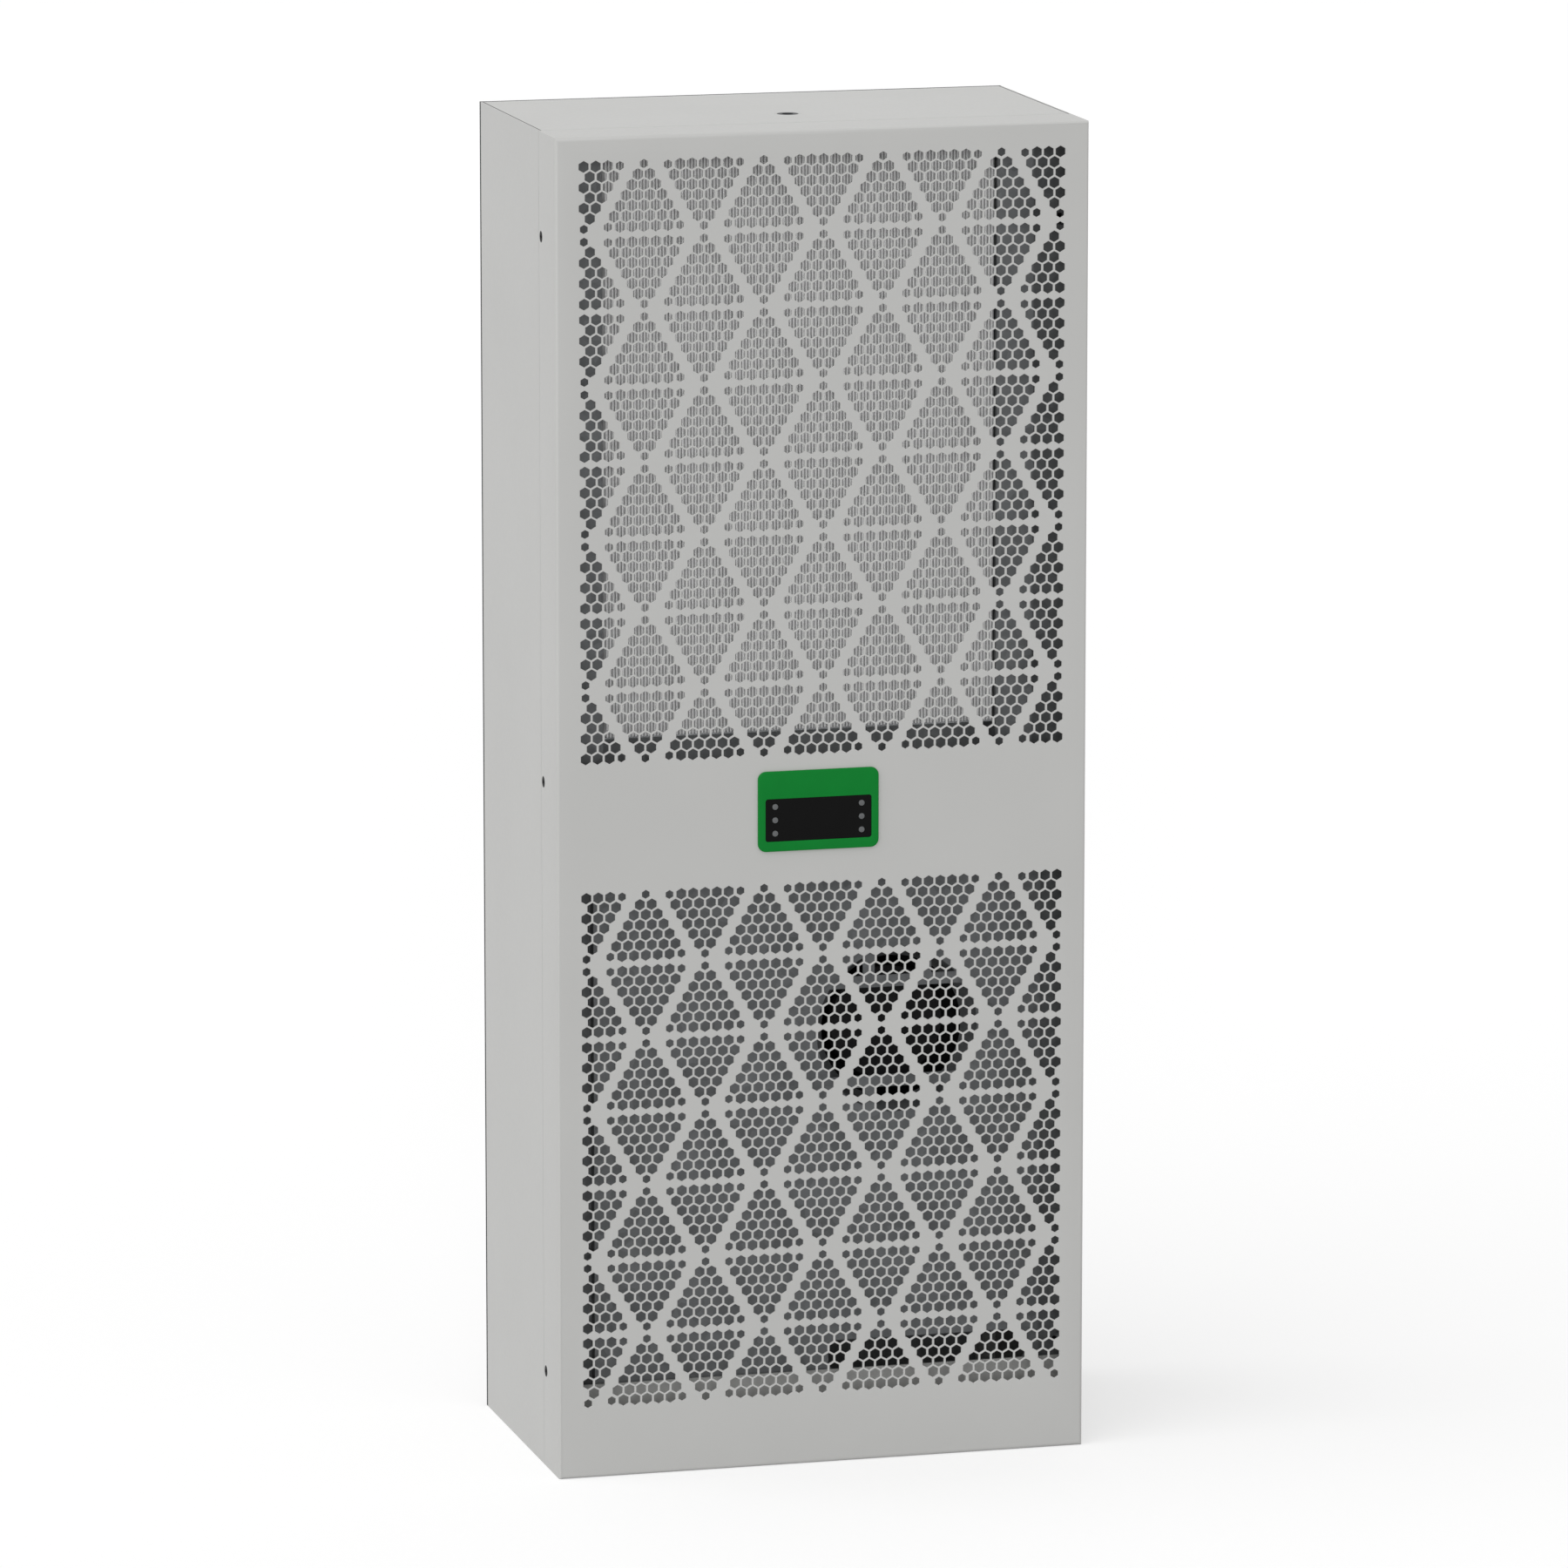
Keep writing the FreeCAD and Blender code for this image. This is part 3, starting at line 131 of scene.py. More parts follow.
# %% Stage
WORLD_LEVEL = 0.58
FLOOR_GLOW = 0.4          # share of the floor's white that needs no lamp, so that the shadow stays pale
GLOW_STRENGTH = 1.19      # makes up for what the lamps lack, so that the open floor is just white
FLOOR_REACH = 30.0        # metres from the middle to an edge
LAMPS = {                 # direction that the light comes from, strength, spread
    "window": ((-0.638, -0.196, 0.744), 1.15, radians(70)),
    "fill": ((-0.253, -0.950, 0.184), 0.58, radians(20)),
}


def background_rays(tree):
    """1 for rays that show the background: straight from the camera, mirrored, or through glass."""
    path = add(tree, "LightPath").outputs
    seen = add(tree, "Math", {0: path["Is Camera Ray"], 1: path["Is Glossy Ray"]}, operation="MAXIMUM")
    through = {0: seen.outputs[0], 1: path["Is Transmission Ray"]}
    return add(tree, "Math", through, operation="MAXIMUM").outputs[0]


world = bpy.data.worlds.new("studio")
world.use_nodes = True
world.node_tree.nodes.clear()
room = add(world.node_tree, "Background", {"Color": linear("#FFFFFF"), "Strength": WORLD_LEVEL})
white = add(world.node_tree, "Background", {"Color": linear("#FFFFFF"), "Strength": 1.0})
shown = {0: background_rays(world.node_tree), 1: room.outputs[0], 2: white.outputs[0]}
add(world.node_tree, "OutputWorld", {"Surface": add(world.node_tree, "MixShader", shown).outputs[0]})
scene.world = world

floor_paper = bpy.data.materials.new("floor_paper")
floor_paper.use_nodes = True
paper = floor_paper.node_tree
paper.nodes.clear()
bounce = add(paper, "BsdfDiffuse", {"Color": linear("#C8C8C8")})
sheet = add(paper, "BsdfDiffuse", {"Color": linear("#FFFFFF")})
glow = add(paper, "Emission", {"Color": linear("#FFFFFF"), "Strength": GLOW_STRENGTH})
pale = add(paper, "MixShader", {0: FLOOR_GLOW, 1: sheet.outputs[0], 2: glow.outputs[0]})
shown = {0: background_rays(paper), 1: bounce.outputs[0], 2: pale.outputs[0]}
add(paper, "OutputMaterial", {"Surface": add(paper, "MixShader", shown).outputs[0]})

floor_mesh = bpy.data.meshes.new("floor")
floor_corners = FLOOR_REACH * np.array([[-1, -1, 0], [1, -1, 0], [1, 1, 0], [-1, 1, 0]])
floor_mesh.from_pydata(floor_corners.tolist(), [], [(0, 1, 2, 3)])
floor_mesh.materials.append(floor_paper)
floor = bpy.data.objects.new("floor", floor_mesh)
scene.collection.objects.link(floor)

for name, (source, strength, spread) in LAMPS.items():
    lamp = bpy.data.objects.new(name, bpy.data.lights.new(name, "SUN"))
    lamp.data.energy = strength
    lamp.data.angle = spread
    lamp.rotation_euler = Vector(source).to_track_quat("Z", "Y").to_euler()
    scene.collection.objects.link(lamp)
scene.view_settings.view_transform = "Standard"
print("floor of", 2 * FLOOR_REACH, "m, lamps:", *LAMPS)

# %% [markdown]
# No real surface is one flat colour. Paint drifts in tone from place to place, its skin has a fine relief,
# and the relief scatters the gloss. One function builds this for every finish from a few real sizes in
# millimetres, and the finishes differ in their numbers. The patterns read the piece's own coordinates in
# metres, so a pattern of a given size has a scale of one over that size. A finish may also change to a second
# tone at a border, such as painted shade along a joint. There the share of the second tone follows from a
# distance.

# %% A surface with drift, grain and relief
DRIFT_DETAIL = 3.0        # octaves of the noise
GRAIN_DETAIL = 2.0


def surface(name, dark, light, drift, grain, relief, rough, **constants):
    """Material whose colour wanders from dark to light over drift mm, with a grain of grain mm.

    The grain moves the roughness between the two values of rough and stands up by relief mm.
    The constants are set on the shader's own sockets, with _ for a space.
    """
    material = bpy.data.materials.new(name)
    material.use_nodes = True
    tree = material.node_tree
    shader = tree.nodes["Principled BSDF"]
    where = add(tree, "TexCoord").outputs["Object"]
    cloud = add(tree, "TexNoise", {"Vector": where, "Scale": 1 / (drift * MM), "Detail": DRIFT_DETAIL})
    colours = {0: cloud.outputs["Fac"], 6: linear(dark), 7: linear(light)}
    tone = add(tree, "Mix", colours, data_type="RGBA")
    skin = add(tree, "TexNoise", {"Vector": where, "Scale": 1 / (grain * MM), "Detail": GRAIN_DETAIL})
    gloss = add(tree, "MapRange", {"Value": skin.outputs["Fac"], "To Min": rough[0], "To Max": rough[1]})
    bump = add(tree, "Bump", {"Height": skin.outputs["Fac"], "Distance": relief * MM})
    tree.links.new(tone.outputs[2], shader.inputs["Base Color"])
    tree.links.new(gloss.outputs["Result"], shader.inputs["Roughness"])
    tree.links.new(bump.outputs["Normal"], shader.inputs["Normal"])
    for socket, value in constants.items():
        shader.inputs[socket.replace("_", " ")].default_value = value
    return material


def second_tone(material, share, code):
    """Lay one more colour over a material's own tone, as far as share, an output of its tree, says."""
    tree = material.node_tree
    base = tree.nodes["Principled BSDF"].inputs["Base Color"]
    tones = {0: share, 6: base.links[0].from_socket, 7: linear(code)}
    tree.links.new(add(tree, "Mix", tones, data_type="RGBA").outputs[2], base)


def from_axis(tree, point, across):
    """Distance from an axis through a point, measured only along the directions where across is 1."""
    place = add(tree, "TexCoord").outputs["Object"]
    level = add(tree, "VectorMath", {0: place, 1: across}, operation="MULTIPLY")
    ends = {0: level.outputs[0], 1: np.multiply(point, across)}
    return add(tree, "VectorMath", ends, operation="DISTANCE").outputs["Value"]


def border(tree, distance, edges, inner=1.0):
    """Share that is inner up to the first edge, in mm, and 1 - inner from the second edge on."""
    ends = {"Value": distance, "From Min": edges[0] * MM, "From Max": edges[1] * MM,
            "To Min": inner, "To Max": 1 - inner}
    return add(tree, "MapRange", ends).outputs["Result"]


FINISHES = {}

# %% [markdown]
# The cover and the case are folded from steel sheet and powder-coated light grey. Powder melts into a skin
# with a slight orange peel and a satin gloss. A bitmap of painted metal would do on one side, but noise in
# the piece's own coordinates runs round every fold without a seam.

# %% Powder-coated steel
# Orange peel is about 1 mm wide. It is drawn 3 mm wide here, or the picture would not show it.
for slot in ("cover_paint", "case_paint"):
    FINISHES[slot] = surface("powder_coated_steel_" + slot, "#C1C1BF", "#C7C7C5", drift=110, grain=3.0,
                             relief=0.03, rough=(0.42, 0.58))
print("painted:", sorted(FINISHES))

# %% [markdown]
# Along the top edges of the case the top sheet meets the side sheets in a narrow joint, which shows as a
# thin dark line. The gap itself is in the solids, but it is too narrow to hold much shade, so the line is
# painted shade: a dark band in the paint, found by its distance from the joint.

# %% Painted shade along the joint
JOINT_AT = 200.3          # from the middle of the case, in mm
JOINT_SHADE_EDGE = (0.3, 0.7)    # all painted shade, none, in mm from the joint
JOINT_ABOVE = 999.0       # the line is drawn only above this height, in mm

joint_tree = FINISHES["case_paint"].node_tree
axes = add(joint_tree, "SeparateXYZ", {0: add(joint_tree, "TexCoord").outputs["Object"]}).outputs
aside = add(joint_tree, "Math", {0: axes["X"]}, operation="ABSOLUTE")
apart = add(joint_tree, "Math", {0: aside.outputs[0], 1: JOINT_AT * MM}, operation="SUBTRACT")
apart = add(joint_tree, "Math", {0: apart.outputs[0]}, operation="ABSOLUTE")
on_top = add(joint_tree, "Math", {0: axes["Z"], 1: JOINT_ABOVE * MM}, operation="GREATER_THAN")
joint_shade = {0: border(joint_tree, apart.outputs[0], JOINT_SHADE_EDGE), 1: on_top.outputs[0]}
joint_shade = add(joint_tree, "Math", joint_shade, operation="MULTIPLY")
# The dark second tone is painted shade, standing in for the shade inside the narrow joint.
second_tone(FINISHES["case_paint"], joint_shade.outputs[0], "#3E3E3D")
print("joint", JOINT_AT, "mm from the middle")

# %% [markdown]
# Nuts, threaded inserts and brackets are zinc-plated steel: a pale metal with a cloudy shine. The cover's
# screws are plated too, but a thick black film covers the zinc, so no metal shines through. The inner walls
# are hot-dip galvanised sheet, which freezes into flat crystals called spangle. A Voronoi pattern has the
# same cells, so each cell gets its own tone.

# %% Zinc and galvanised sheet
SPANGLE = 9.0             # mm
SPANGLE_SHARE = 0.35      # of the crystals' own tone in the brightest of them

FINISHES["zinc_steel"] = surface("zinc_plated_steel", "#A9ACAF", "#C9CCCE", drift=7, grain=0.8, relief=0.01,
                                 rough=(0.28, 0.46), Metallic=1.0)
FINISHES["black_zinc"] = surface("black_zinc_plating", "#0C0C0D", "#141415", drift=5, grain=0.7, relief=0.01,
                                 rough=(0.5, 0.65), Specular_IOR_Level=0.1)
# Zinc that has stood in air wears a thin grey salt, so it is less than half as metallic as fresh.
FINISHES["galvanised_sheet"] = surface("galvanised_sheet", "#656768", "#787A7C", drift=60, grain=1.5,
                                       relief=0.01, rough=(0.42, 0.6), Metallic=0.4)
sheet_tree = FINISHES["galvanised_sheet"].node_tree
sheet_place = add(sheet_tree, "TexCoord").outputs["Object"]
cells = add(sheet_tree, "TexVoronoi", {"Vector": sheet_place, "Scale": 1 / (SPANGLE * MM)})
crystal = add(sheet_tree, "MapRange", {"Value": cells.outputs["Color"], "To Max": SPANGLE_SHARE})
second_tone(FINISHES["galvanised_sheet"], crystal.outputs["Result"], "#9A9C9E")
print("spangle of", SPANGLE, "mm")

# %% [markdown]
# The coils have fins of thin bright aluminium on copper tubes, and the shelf below the front coil is a
# thicker sheet of it. Rolled aluminium is pale, and the fins are made near white beyond that: painted
# light that stands in for the light which the cover keeps from the coil. Copper that has been brazed is pink
# where it stayed clean and brown where the flame touched it.

# %% Aluminium and copper
# Near white is paler than aluminium: the extra lightness of the fins is painted light for the shaded coil.
FINISHES["aluminium_fins"] = surface("pale_fin_stock_with_painted_light", "#F5F5F5", "#FCFCFC", drift=40, grain=0.9,
                                     relief=0.01, rough=(0.4, 0.55), Metallic=0.05)
FINISHES["aluminium_sheet"] = surface("mill_finish_aluminium", "#9A9C9E", "#A8AAAC", drift=30, grain=1.1,
                                      relief=0.01, rough=(0.4, 0.55), Metallic=0.4)
FINISHES["copper_tube"] = surface("drawn_copper", "#8A4E33", "#D99A78", drift=26, grain=1.2, relief=0.01,
                                  rough=(0.24, 0.44), Metallic=1.0)

# %% [markdown]
# Rubber and foam drink the light. The gasket behind the case is a closed-cell foam strip, whose cut cells
# show as small pits, and the grommets and feet are moulded rubber with a finer bloom.

# %% Foam and rubber
FINISHES["gasket_foam"] = surface("closed_cell_foam", "#222425", "#323435", drift=20, grain=1.6, relief=0.3,
                                  rough=(0.85, 1.0))
FINISHES["black_rubber"] = surface("moulded_rubber", "#1A1A1B", "#262627", drift=14, grain=1.0, relief=0.03,
                                   rough=(0.6, 0.8))

# %% [markdown]
# The compressor and the fan rotors wear a black dip coat, thin and satin. The impellers, housings and caps
# are moulded from black glass-filled nylon, whose fibres leave a faint silky grain, and the tray is a pale
# moulded plastic.

# %% Dip coat and moulded plastics
FINISHES["black_enamel"] = surface("black_dip_coat", "#0E0E0F", "#18181A", drift=50, grain=4.0, relief=0.04,
                                   rough=(0.4, 0.55), Specular_IOR_Level=0.2)
FINISHES["black_plastic"] = surface("glass_filled_nylon", "#0E0F10", "#17181A", drift=18, grain=0.9,
                                    relief=0.02, rough=(0.5, 0.68), Specular_IOR_Level=0.25)
FINISHES["inlet_plastic"] = surface("terminal_plastic", "#232527", "#303235", drift=12, grain=0.7,
                                    relief=0.02, rough=(0.45, 0.6))
FINISHES["tray_plastic"] = surface("moulded_polystyrene", "#B4B6B3", "#C3C5C2", drift=45, grain=1.0,
                                   relief=0.02, rough=(0.4, 0.55))

# %% [markdown]
# The controller has a green ABS bezel with a satin, spark-eroded grain, a smoked window and small grey keys.
# The window is a hard-coated film that reflects little, so its specular level is low. The board behind it
# has a green solder mask.

# %% Controller finishes
# The grain of the bezel is about 0.2 mm on the real tool. It is drawn at 0.6 mm so that it shows.
FINISHES["bezel_green"] = surface("satin_abs_green", "#05762A", "#068430", drift=30, grain=0.6, relief=0.02,
                                  rough=(0.4, 0.55), Specular_IOR_Level=0.12)
FINISHES["display_glass"] = surface("smoked_film", "#080808", "#0C0C0C", drift=16, grain=0.8, relief=0.002,
                                    rough=(0.16, 0.26), Specular_IOR_Level=0.08)
FINISHES["key_grey"] = surface("silicone_key", "#56585A", "#626465", drift=3, grain=0.5, relief=0.01,
                               rough=(0.5, 0.7))
FINISHES["board_green"] = surface("solder_mask", "#0B3F24", "#125A34", drift=5, grain=0.7, relief=0.02,
                                  rough=(0.25, 0.4))
print(len(FINISHES), "finishes")

# %% [markdown]
# Every solid piece now takes its finish from the record, which names a slot for each of them. Pieces that
# are made anew below use the same finishes, and all but the coil tubes replace a solid one.

# %% Dress the solid pieces
for part in frame["record"]["subparts"]:
    node = frame["nodes"][part["node"]]
    node.material_slots[0].material = FINISHES[part["material_slot"]]

# %% [markdown]
# The lifting insert looks darker than its zinc-plated relatives, and smaller than its flange. It is taken to
# be phosphated, a dull grey coat, and pressed into the top before the case is painted. A round plug keeps
# the powder out of its thread, so the flange is bare inside a circle and painted outside it. The border is a
# distance from the insert's axis.

# %% Masked lifting insert
MASK_EDGE = (7.9, 8.1)    # all bare, all painted, in mm from the axis

phosphate = surface("phosphated_steel", "#303234", "#3C3E40", drift=4, grain=0.7, relief=0.02,
                    rough=(0.45, 0.6), Specular_IOR_Level=0.2)
insert_low, insert_high = np.array(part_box("lifting_insert"))
insert_reach = from_axis(phosphate.node_tree, (insert_low + insert_high) / 2, (1, 1, 0))
second_tone(phosphate, border(phosphate.node_tree, insert_reach, MASK_EDGE, inner=0.0), "#C4C4C2")
frame["nodes"]["lifting_insert"].material_slots[0].material = phosphate
print("insert bare within", MASK_EDGE[0], "mm of its axis")

# %% [markdown]
# New pieces come as arrays of points and faces. Surfaces that meet are made with the same points along
# their common edge, so a mesh only has to be welded there. Then the normals are turned outwards, and edges
# sharper than an angle stay crisp while the rest is shaded smooth.

# %% From arrays to a piece
WELD = 0.002 * MM         # points nearer than this become one
CRISP = radians(32)       # edges sharper than this stay crisp


def grid(rows, columns, round_rows=True, round_columns=True):
    """Quads of a grid of points, row after row, each joined to the next row and the next column."""
    here = np.arange(rows * columns).reshape(rows, columns)
    ahead = np.roll(here, -1, 0)
    quads = np.stack([here, ahead, np.roll(ahead, -1, 1), np.roll(here, -1, 1)], -1)
    quads = quads if round_rows else quads[:-1]
    return quads if round_columns else quads[:, :-1]


def join(*surfaces):
    """One array of points and one list of faces from several surfaces."""
    starts = np.cumsum([0] + [len(points) for points, _ in surfaces])
    faces = [face + start for (_, group), start in zip(surfaces, starts) for face in group]
    return np.concatenate([points for points, _ in surfaces]), faces


def make_piece(name, body, slot, replaced, points, faces):
    """Mesh object of the points that the faces use, welded, turned outwards and put on its body."""
    faces = [face.reshape(-1, face.shape[-1]) for face in faces]
    used = np.unique(np.concatenate([face.ravel() for face in faces]))
    mesh = bpy.data.meshes.new(name)
    corners = [row for face in faces for row in np.searchsorted(used, face).tolist()]
    mesh.from_pydata(points[used].tolist(), [], corners)
    work = bmesh.new()
    work.from_mesh(mesh)
    bmesh.ops.remove_doubles(work, verts=work.verts, dist=WELD)
    bmesh.ops.recalc_face_normals(work, faces=work.faces)
    work.to_mesh(mesh)
    work.free()
    mesh.polygons.foreach_set("use_smooth", np.ones(len(mesh.polygons), bool))
    mesh.set_sharp_from_angle(angle=CRISP)
    mesh.materials.append(FINISHES[slot])
    piece = bpy.data.objects.new(name, mesh)
    scene.collection.objects.link(piece)
    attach(piece, body)
    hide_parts(*replaced)
    print(name, "has", len(mesh.vertices), "points and", len(mesh.polygons), "faces")


# %% [markdown]
# The face of the cover is pierced with hexagonal holes, packed in triangles that point up and down in turn,
# so that pale bands cross the face in three directions. The holes could be cut with a boolean, one by one,
# but thousands of cuts are slow and leave ragged faces. Here all centres are worked out at once: a triangle
# has seven rows, from seven holes to one, and the triangles stand in columns and bands.

# %% Centres of the pierced holes
cover_low, cover_high = np.array(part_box("front_cover"))
HOLE_PITCH = 9.0 * MM
HOLE_ACROSS = 7.5 * MM
CORNER_ACROSS = 5.8 * MM  # hole in a corner of a triangle, which leaves more sheet where the bands cross
ROW_PITCH = 7.6 * MM
ROWS = 7
COLUMNS = 4               # on each side of the middle
COLUMN_PITCH = 5 * HOLE_PITCH
FIELD_HALF = COLUMNS * COLUMN_PITCH + HOLE_PITCH / 4  # takes in the holes on the middle of the last column
BASE_LAND = 5.7 * MM      # edge of a band to the middle of its longest row
TIP_LAND = 4.665 * MM     # edge of a band to the middle of the corner hole
BAND = (ROWS - 1) * ROW_PITCH + BASE_LAND + TIP_LAND
TOP_LAND = 16.0 * MM      # top of the cover to the upper field
UPPER_BANDS = 8
FOOT_LAND = 52.0 * MM     # foot of the cover to the lower field
LOWER_BANDS = 7


def field_of_holes(top, bands):
    """Rows of x, z and width across flats, one for each hole of a field.

    x is the column times its pitch plus the place in the row, z the band's edge plus or minus the row. A
    hole lies in a corner of its triangle when it is all the rows or places away from the side across.
    """
    row, place = np.nonzero(np.add.outer(np.arange(ROWS), np.arange(ROWS)) < ROWS)
    across = (place - (ROWS - 1 - row) / 2) * HOLE_PITCH
    corner = np.maximum.reduce([row, place, ROWS - 1 - row - place]) == ROWS - 1
    width = np.where(corner, CORNER_ACROSS, HOLE_ACROSS)
    band, column = np.indices((bands, 2 * COLUMNS + 1))
    column = column - COLUMNS
    up = (band + column) % 2 == 1
    base = np.where(up, top - (band + 1) * BAND + BASE_LAND, top - band * BAND - BASE_LAND)
    x = (column * COLUMN_PITCH)[..., None] + across
    z = base[..., None] + np.where(up, 1, -1)[..., None] * row * ROW_PITCH
    found = np.stack([x, z, np.broadcast_to(width, x.shape)], -1).reshape(-1, 3)
    return found[np.abs(found[:, 0]) < FIELD_HALF]


upper_top = cover_high[2] - TOP_LAND
lower_top = cover_low[2] + FOOT_LAND + LOWER_BANDS * BAND
holes = np.concatenate([field_of_holes(upper_top, UPPER_BANDS), field_of_holes(lower_top, LOWER_BANDS)])
print(len(holes), "holes in bands of", round(BAND / MM, 2), "mm")

# %% [markdown]
# A flat sheet full of holes is no grid, so it is made another way. The outline and the rims of the holes are
# closed loops of points, and a constrained triangulation joins them without crossing a rim. A triangle with
# all three corners on one rim lies inside that hole, so it is dropped. The same triangles serve the front
# and the back of the sheet, and each edge of a rim gives one quad of the hole's wall.

# %% Flat sheets with holes
WHOLE_HULL = 0            # the triangulation's output: all triangles, also those inside the loops
SAME_POINT = 1e-5         # points nearer than this, in mm, are one to the triangulation


def ring(centres, radius, corners, turn):
    """Loops of corners round each centre: centre plus radius times the cosine and sine of the turn."""
    angles = turn + 2 * np.pi * np.arange(corners) / corners
    return centres[:, None] + radius * np.stack([np.cos(angles), np.sin(angles)], -1)


def rectangle(low, high):
    """One loop of four corners."""
    return np.array([[low, (high[0], low[1]), high, (low[0], high[1])]], float)


def pierced_sheet(layers, place):
    """Points and faces of a sheet: layers of (loops, depth) from front to back, the outline first.

    place(points, depth) puts the flat points of one layer into space.
    """
    flat = [np.concatenate([loop.reshape(-1, 2) for loop in loops]) for loops, _ in layers]
    sizes = np.concatenate([np.full(len(loops), loops.shape[1]) for loops in layers[0][0]])
    rim = np.repeat(np.arange(len(sizes)), sizes)
    first = np.repeat(np.cumsum(sizes) - sizes, sizes)
    here = np.arange(len(rim))
    after = first + (here - first + 1) % sizes[rim]
    edges = np.stack([here, after], -1)
    found = geometry.delaunay_2d_cdt((flat[0] / MM).tolist(), edges.tolist(), [], WHOLE_HULL, SAME_POINT)
    triangles = np.array(found[2])
    of = rim[triangles]
    inside = (of[:, 0] == of[:, 1]) & (of[:, 1] == of[:, 2]) & (of[:, 0] > 0)
    triangles = triangles[~inside]
    count = len(here)
    walls = edges[rim > 0]
    walls = np.stack([walls[:, 0], walls[:, 1], walls[:, 1] + count, walls[:, 0] + count], -1)
    steps = count * np.arange(len(layers) - 1)[:, None, None]
    faces = [triangles, triangles + count * (len(layers) - 1), (walls + steps).reshape(-1, 4)]
    return np.concatenate([place(points, depth) for points, (_, depth) in zip(flat, layers)]), faces


# %% [markdown]
# The cover is a tray: its sheet bends back at all four sides with a small radius and runs on as a flange to
# the seam. The pierced face is the middle of it. The cut-out for the controller is a loop like the holes,
# and every rim gets a small bevel, as paint rounds it, which catches the light.

# %% Face of the cover
SHEET = 1.5 * MM
BEND = 3.0 * MM
BEVEL = 0.25 * MM
CUTOUT_GAP = 0.3 * MM
HEXAGON = 6
CORNER_UP = radians(90)
FLATS = 3 ** 0.5          # width across the flats of a hexagon with a radius of 1
FACE_Y = cover_low[1]
SEAM_Y = cover_high[1]

housing_low, housing_high = np.array(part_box("controller_housing"))
face_low = cover_low[[0, 2]] + BEND
face_high = cover_high[[0, 2]] - BEND
cutout_low = housing_low[[0, 2]] - CUTOUT_GAP
cutout_high = housing_high[[0, 2]] + CUTOUT_GAP


def face_loops(grow):
    """Outline of the face, the controller's cut-out and the holes, with the rims grown by a bevel."""
    across = holes[:, 2, None, None] + 2 * grow
    hexagons = ring(holes[:, :2], across / FLATS, HEXAGON, CORNER_UP)
    return [rectangle(face_low, face_high), rectangle(cutout_low - grow, cutout_high + grow), hexagons]


def on_face(points, depth):
    """The face lies across the view: x and z from the flat points, y from the depth."""
    return np.stack([points[:, 0], np.full(len(points), FACE_Y + depth), points[:, 1]], -1)


cover_face = pierced_sheet([(face_loops(BEVEL), 0), (face_loops(0), BEVEL), (face_loops(0), SHEET)], on_face)
print("face of", sum(len(group) for group in cover_face[1]), "faces")

# %% [markdown]
# The folded rim is a profile carried round the rectangle of the face. The profile starts flat, turns
# through a quarter circle and runs back to the seam, and returns inside, one sheet thickness away. Two folds
# meet in a mitre that is welded and ground, so a corner needs one station only: there the outward direction
# points along the diagonal.

# %% Folded rim of the cover
TURN_STEPS = 7
LEFT_RUN = 1              # side of the path that runs down on the left
RIGHT_RUN = 3             # and up on the right


def mitred_path(low, high):
    """Path round a rectangle with one station at each corner, where outwards is along both sides."""
    outward = np.array([[1, 1], [-1, 1], [-1, -1], [1, -1]])
    return np.where(outward > 0, high, low), outward


def carried(path, outward, reach, depth):
    """Points of a profile carried along a path in x and z: path plus reach outwards, with depth as y."""
    flat = path[:, None] + reach[:, None] * outward[:, None]
    y = np.broadcast_to(depth, flat.shape[:2])
    return np.stack([flat[..., 0], y, flat[..., 1]], -1).reshape(-1, 3)


fold = np.linspace(0, radians(90), TURN_STEPS)
outer_reach = BEND * np.sin(fold)
outer_y = BEND * (1 - np.cos(fold))
inner_bend = BEND - SHEET
inner_reach = inner_bend * np.sin(fold[::-1])
inner_y = SHEET + inner_bend * (1 - np.cos(fold[::-1]))
flange = np.full(2, SEAM_Y - FACE_Y)
rim_reach = np.concatenate([outer_reach, [BEND, inner_bend], inner_reach])
rim_y = FACE_Y + np.concatenate([outer_y, flange, inner_y])
rim_path, rim_outward = mitred_path(face_low, face_high)
rim_points = carried(rim_path, rim_outward, rim_reach, rim_y)
rim_quads = grid(len(rim_path), len(rim_reach), round_columns=False)
kept_quads = np.ones(rim_quads.shape[:2], bool)
kept_quads[np.ix_([LEFT_RUN, RIGHT_RUN], [TURN_STEPS - 1, TURN_STEPS + 1])] = False
cover_rim = rim_points, [rim_quads[kept_quads]]
print("rim of", kept_quads.sum(), "faces, open where the screws go in")

# %% [markdown]
# The left and right flanges carry three countersunk screws each. Their flat parts are sheets with three
# round holes that narrow through the thickness, so the heads sit flush.

# %% Flanges with countersunk holes
SCREW_SETBACK = 6.0 * MM
SCREW_RIM = 3.85 * MM
SCREW_CORNERS = 32
screw_heights = np.array([73.0, 519.0, 923.0]) * MM
screw_places = np.stack([np.full(len(screw_heights), SEAM_Y - SCREW_SETBACK), screw_heights], -1)
flange_low = np.array([FACE_Y + BEND, face_low[1]])
flange_high = np.array([SEAM_Y, face_high[1]])


def flange_loops(rim, mitre):
    """Flat part of a flange in y and z, longer by the mitre at both ends, and a ring for each screw."""
    ends = np.array([0, mitre])
    return [rectangle(flange_low - ends, flange_high + ends), ring(screw_places, rim, SCREW_CORNERS, 0.0)]


def on_side(side):
    """Puts flat points on the left (-1) or right (1) side: x is half the width less the depth, times side."""
    half = cover_high[0]
    return lambda points, depth: np.stack([np.full(len(points), side * (half - depth)), *points.T], -1)


flange_layers = [(flange_loops(SCREW_RIM, BEND), 0), (flange_loops(SCREW_RIM - SHEET, inner_bend), SHEET)]
flanges = [pierced_sheet(flange_layers, on_side(side)) for side in (-1, 1)]
make_piece("pierced_cover", "case", "cover_paint", ["front_cover"], *join(cover_face, cover_rim, *flanges))
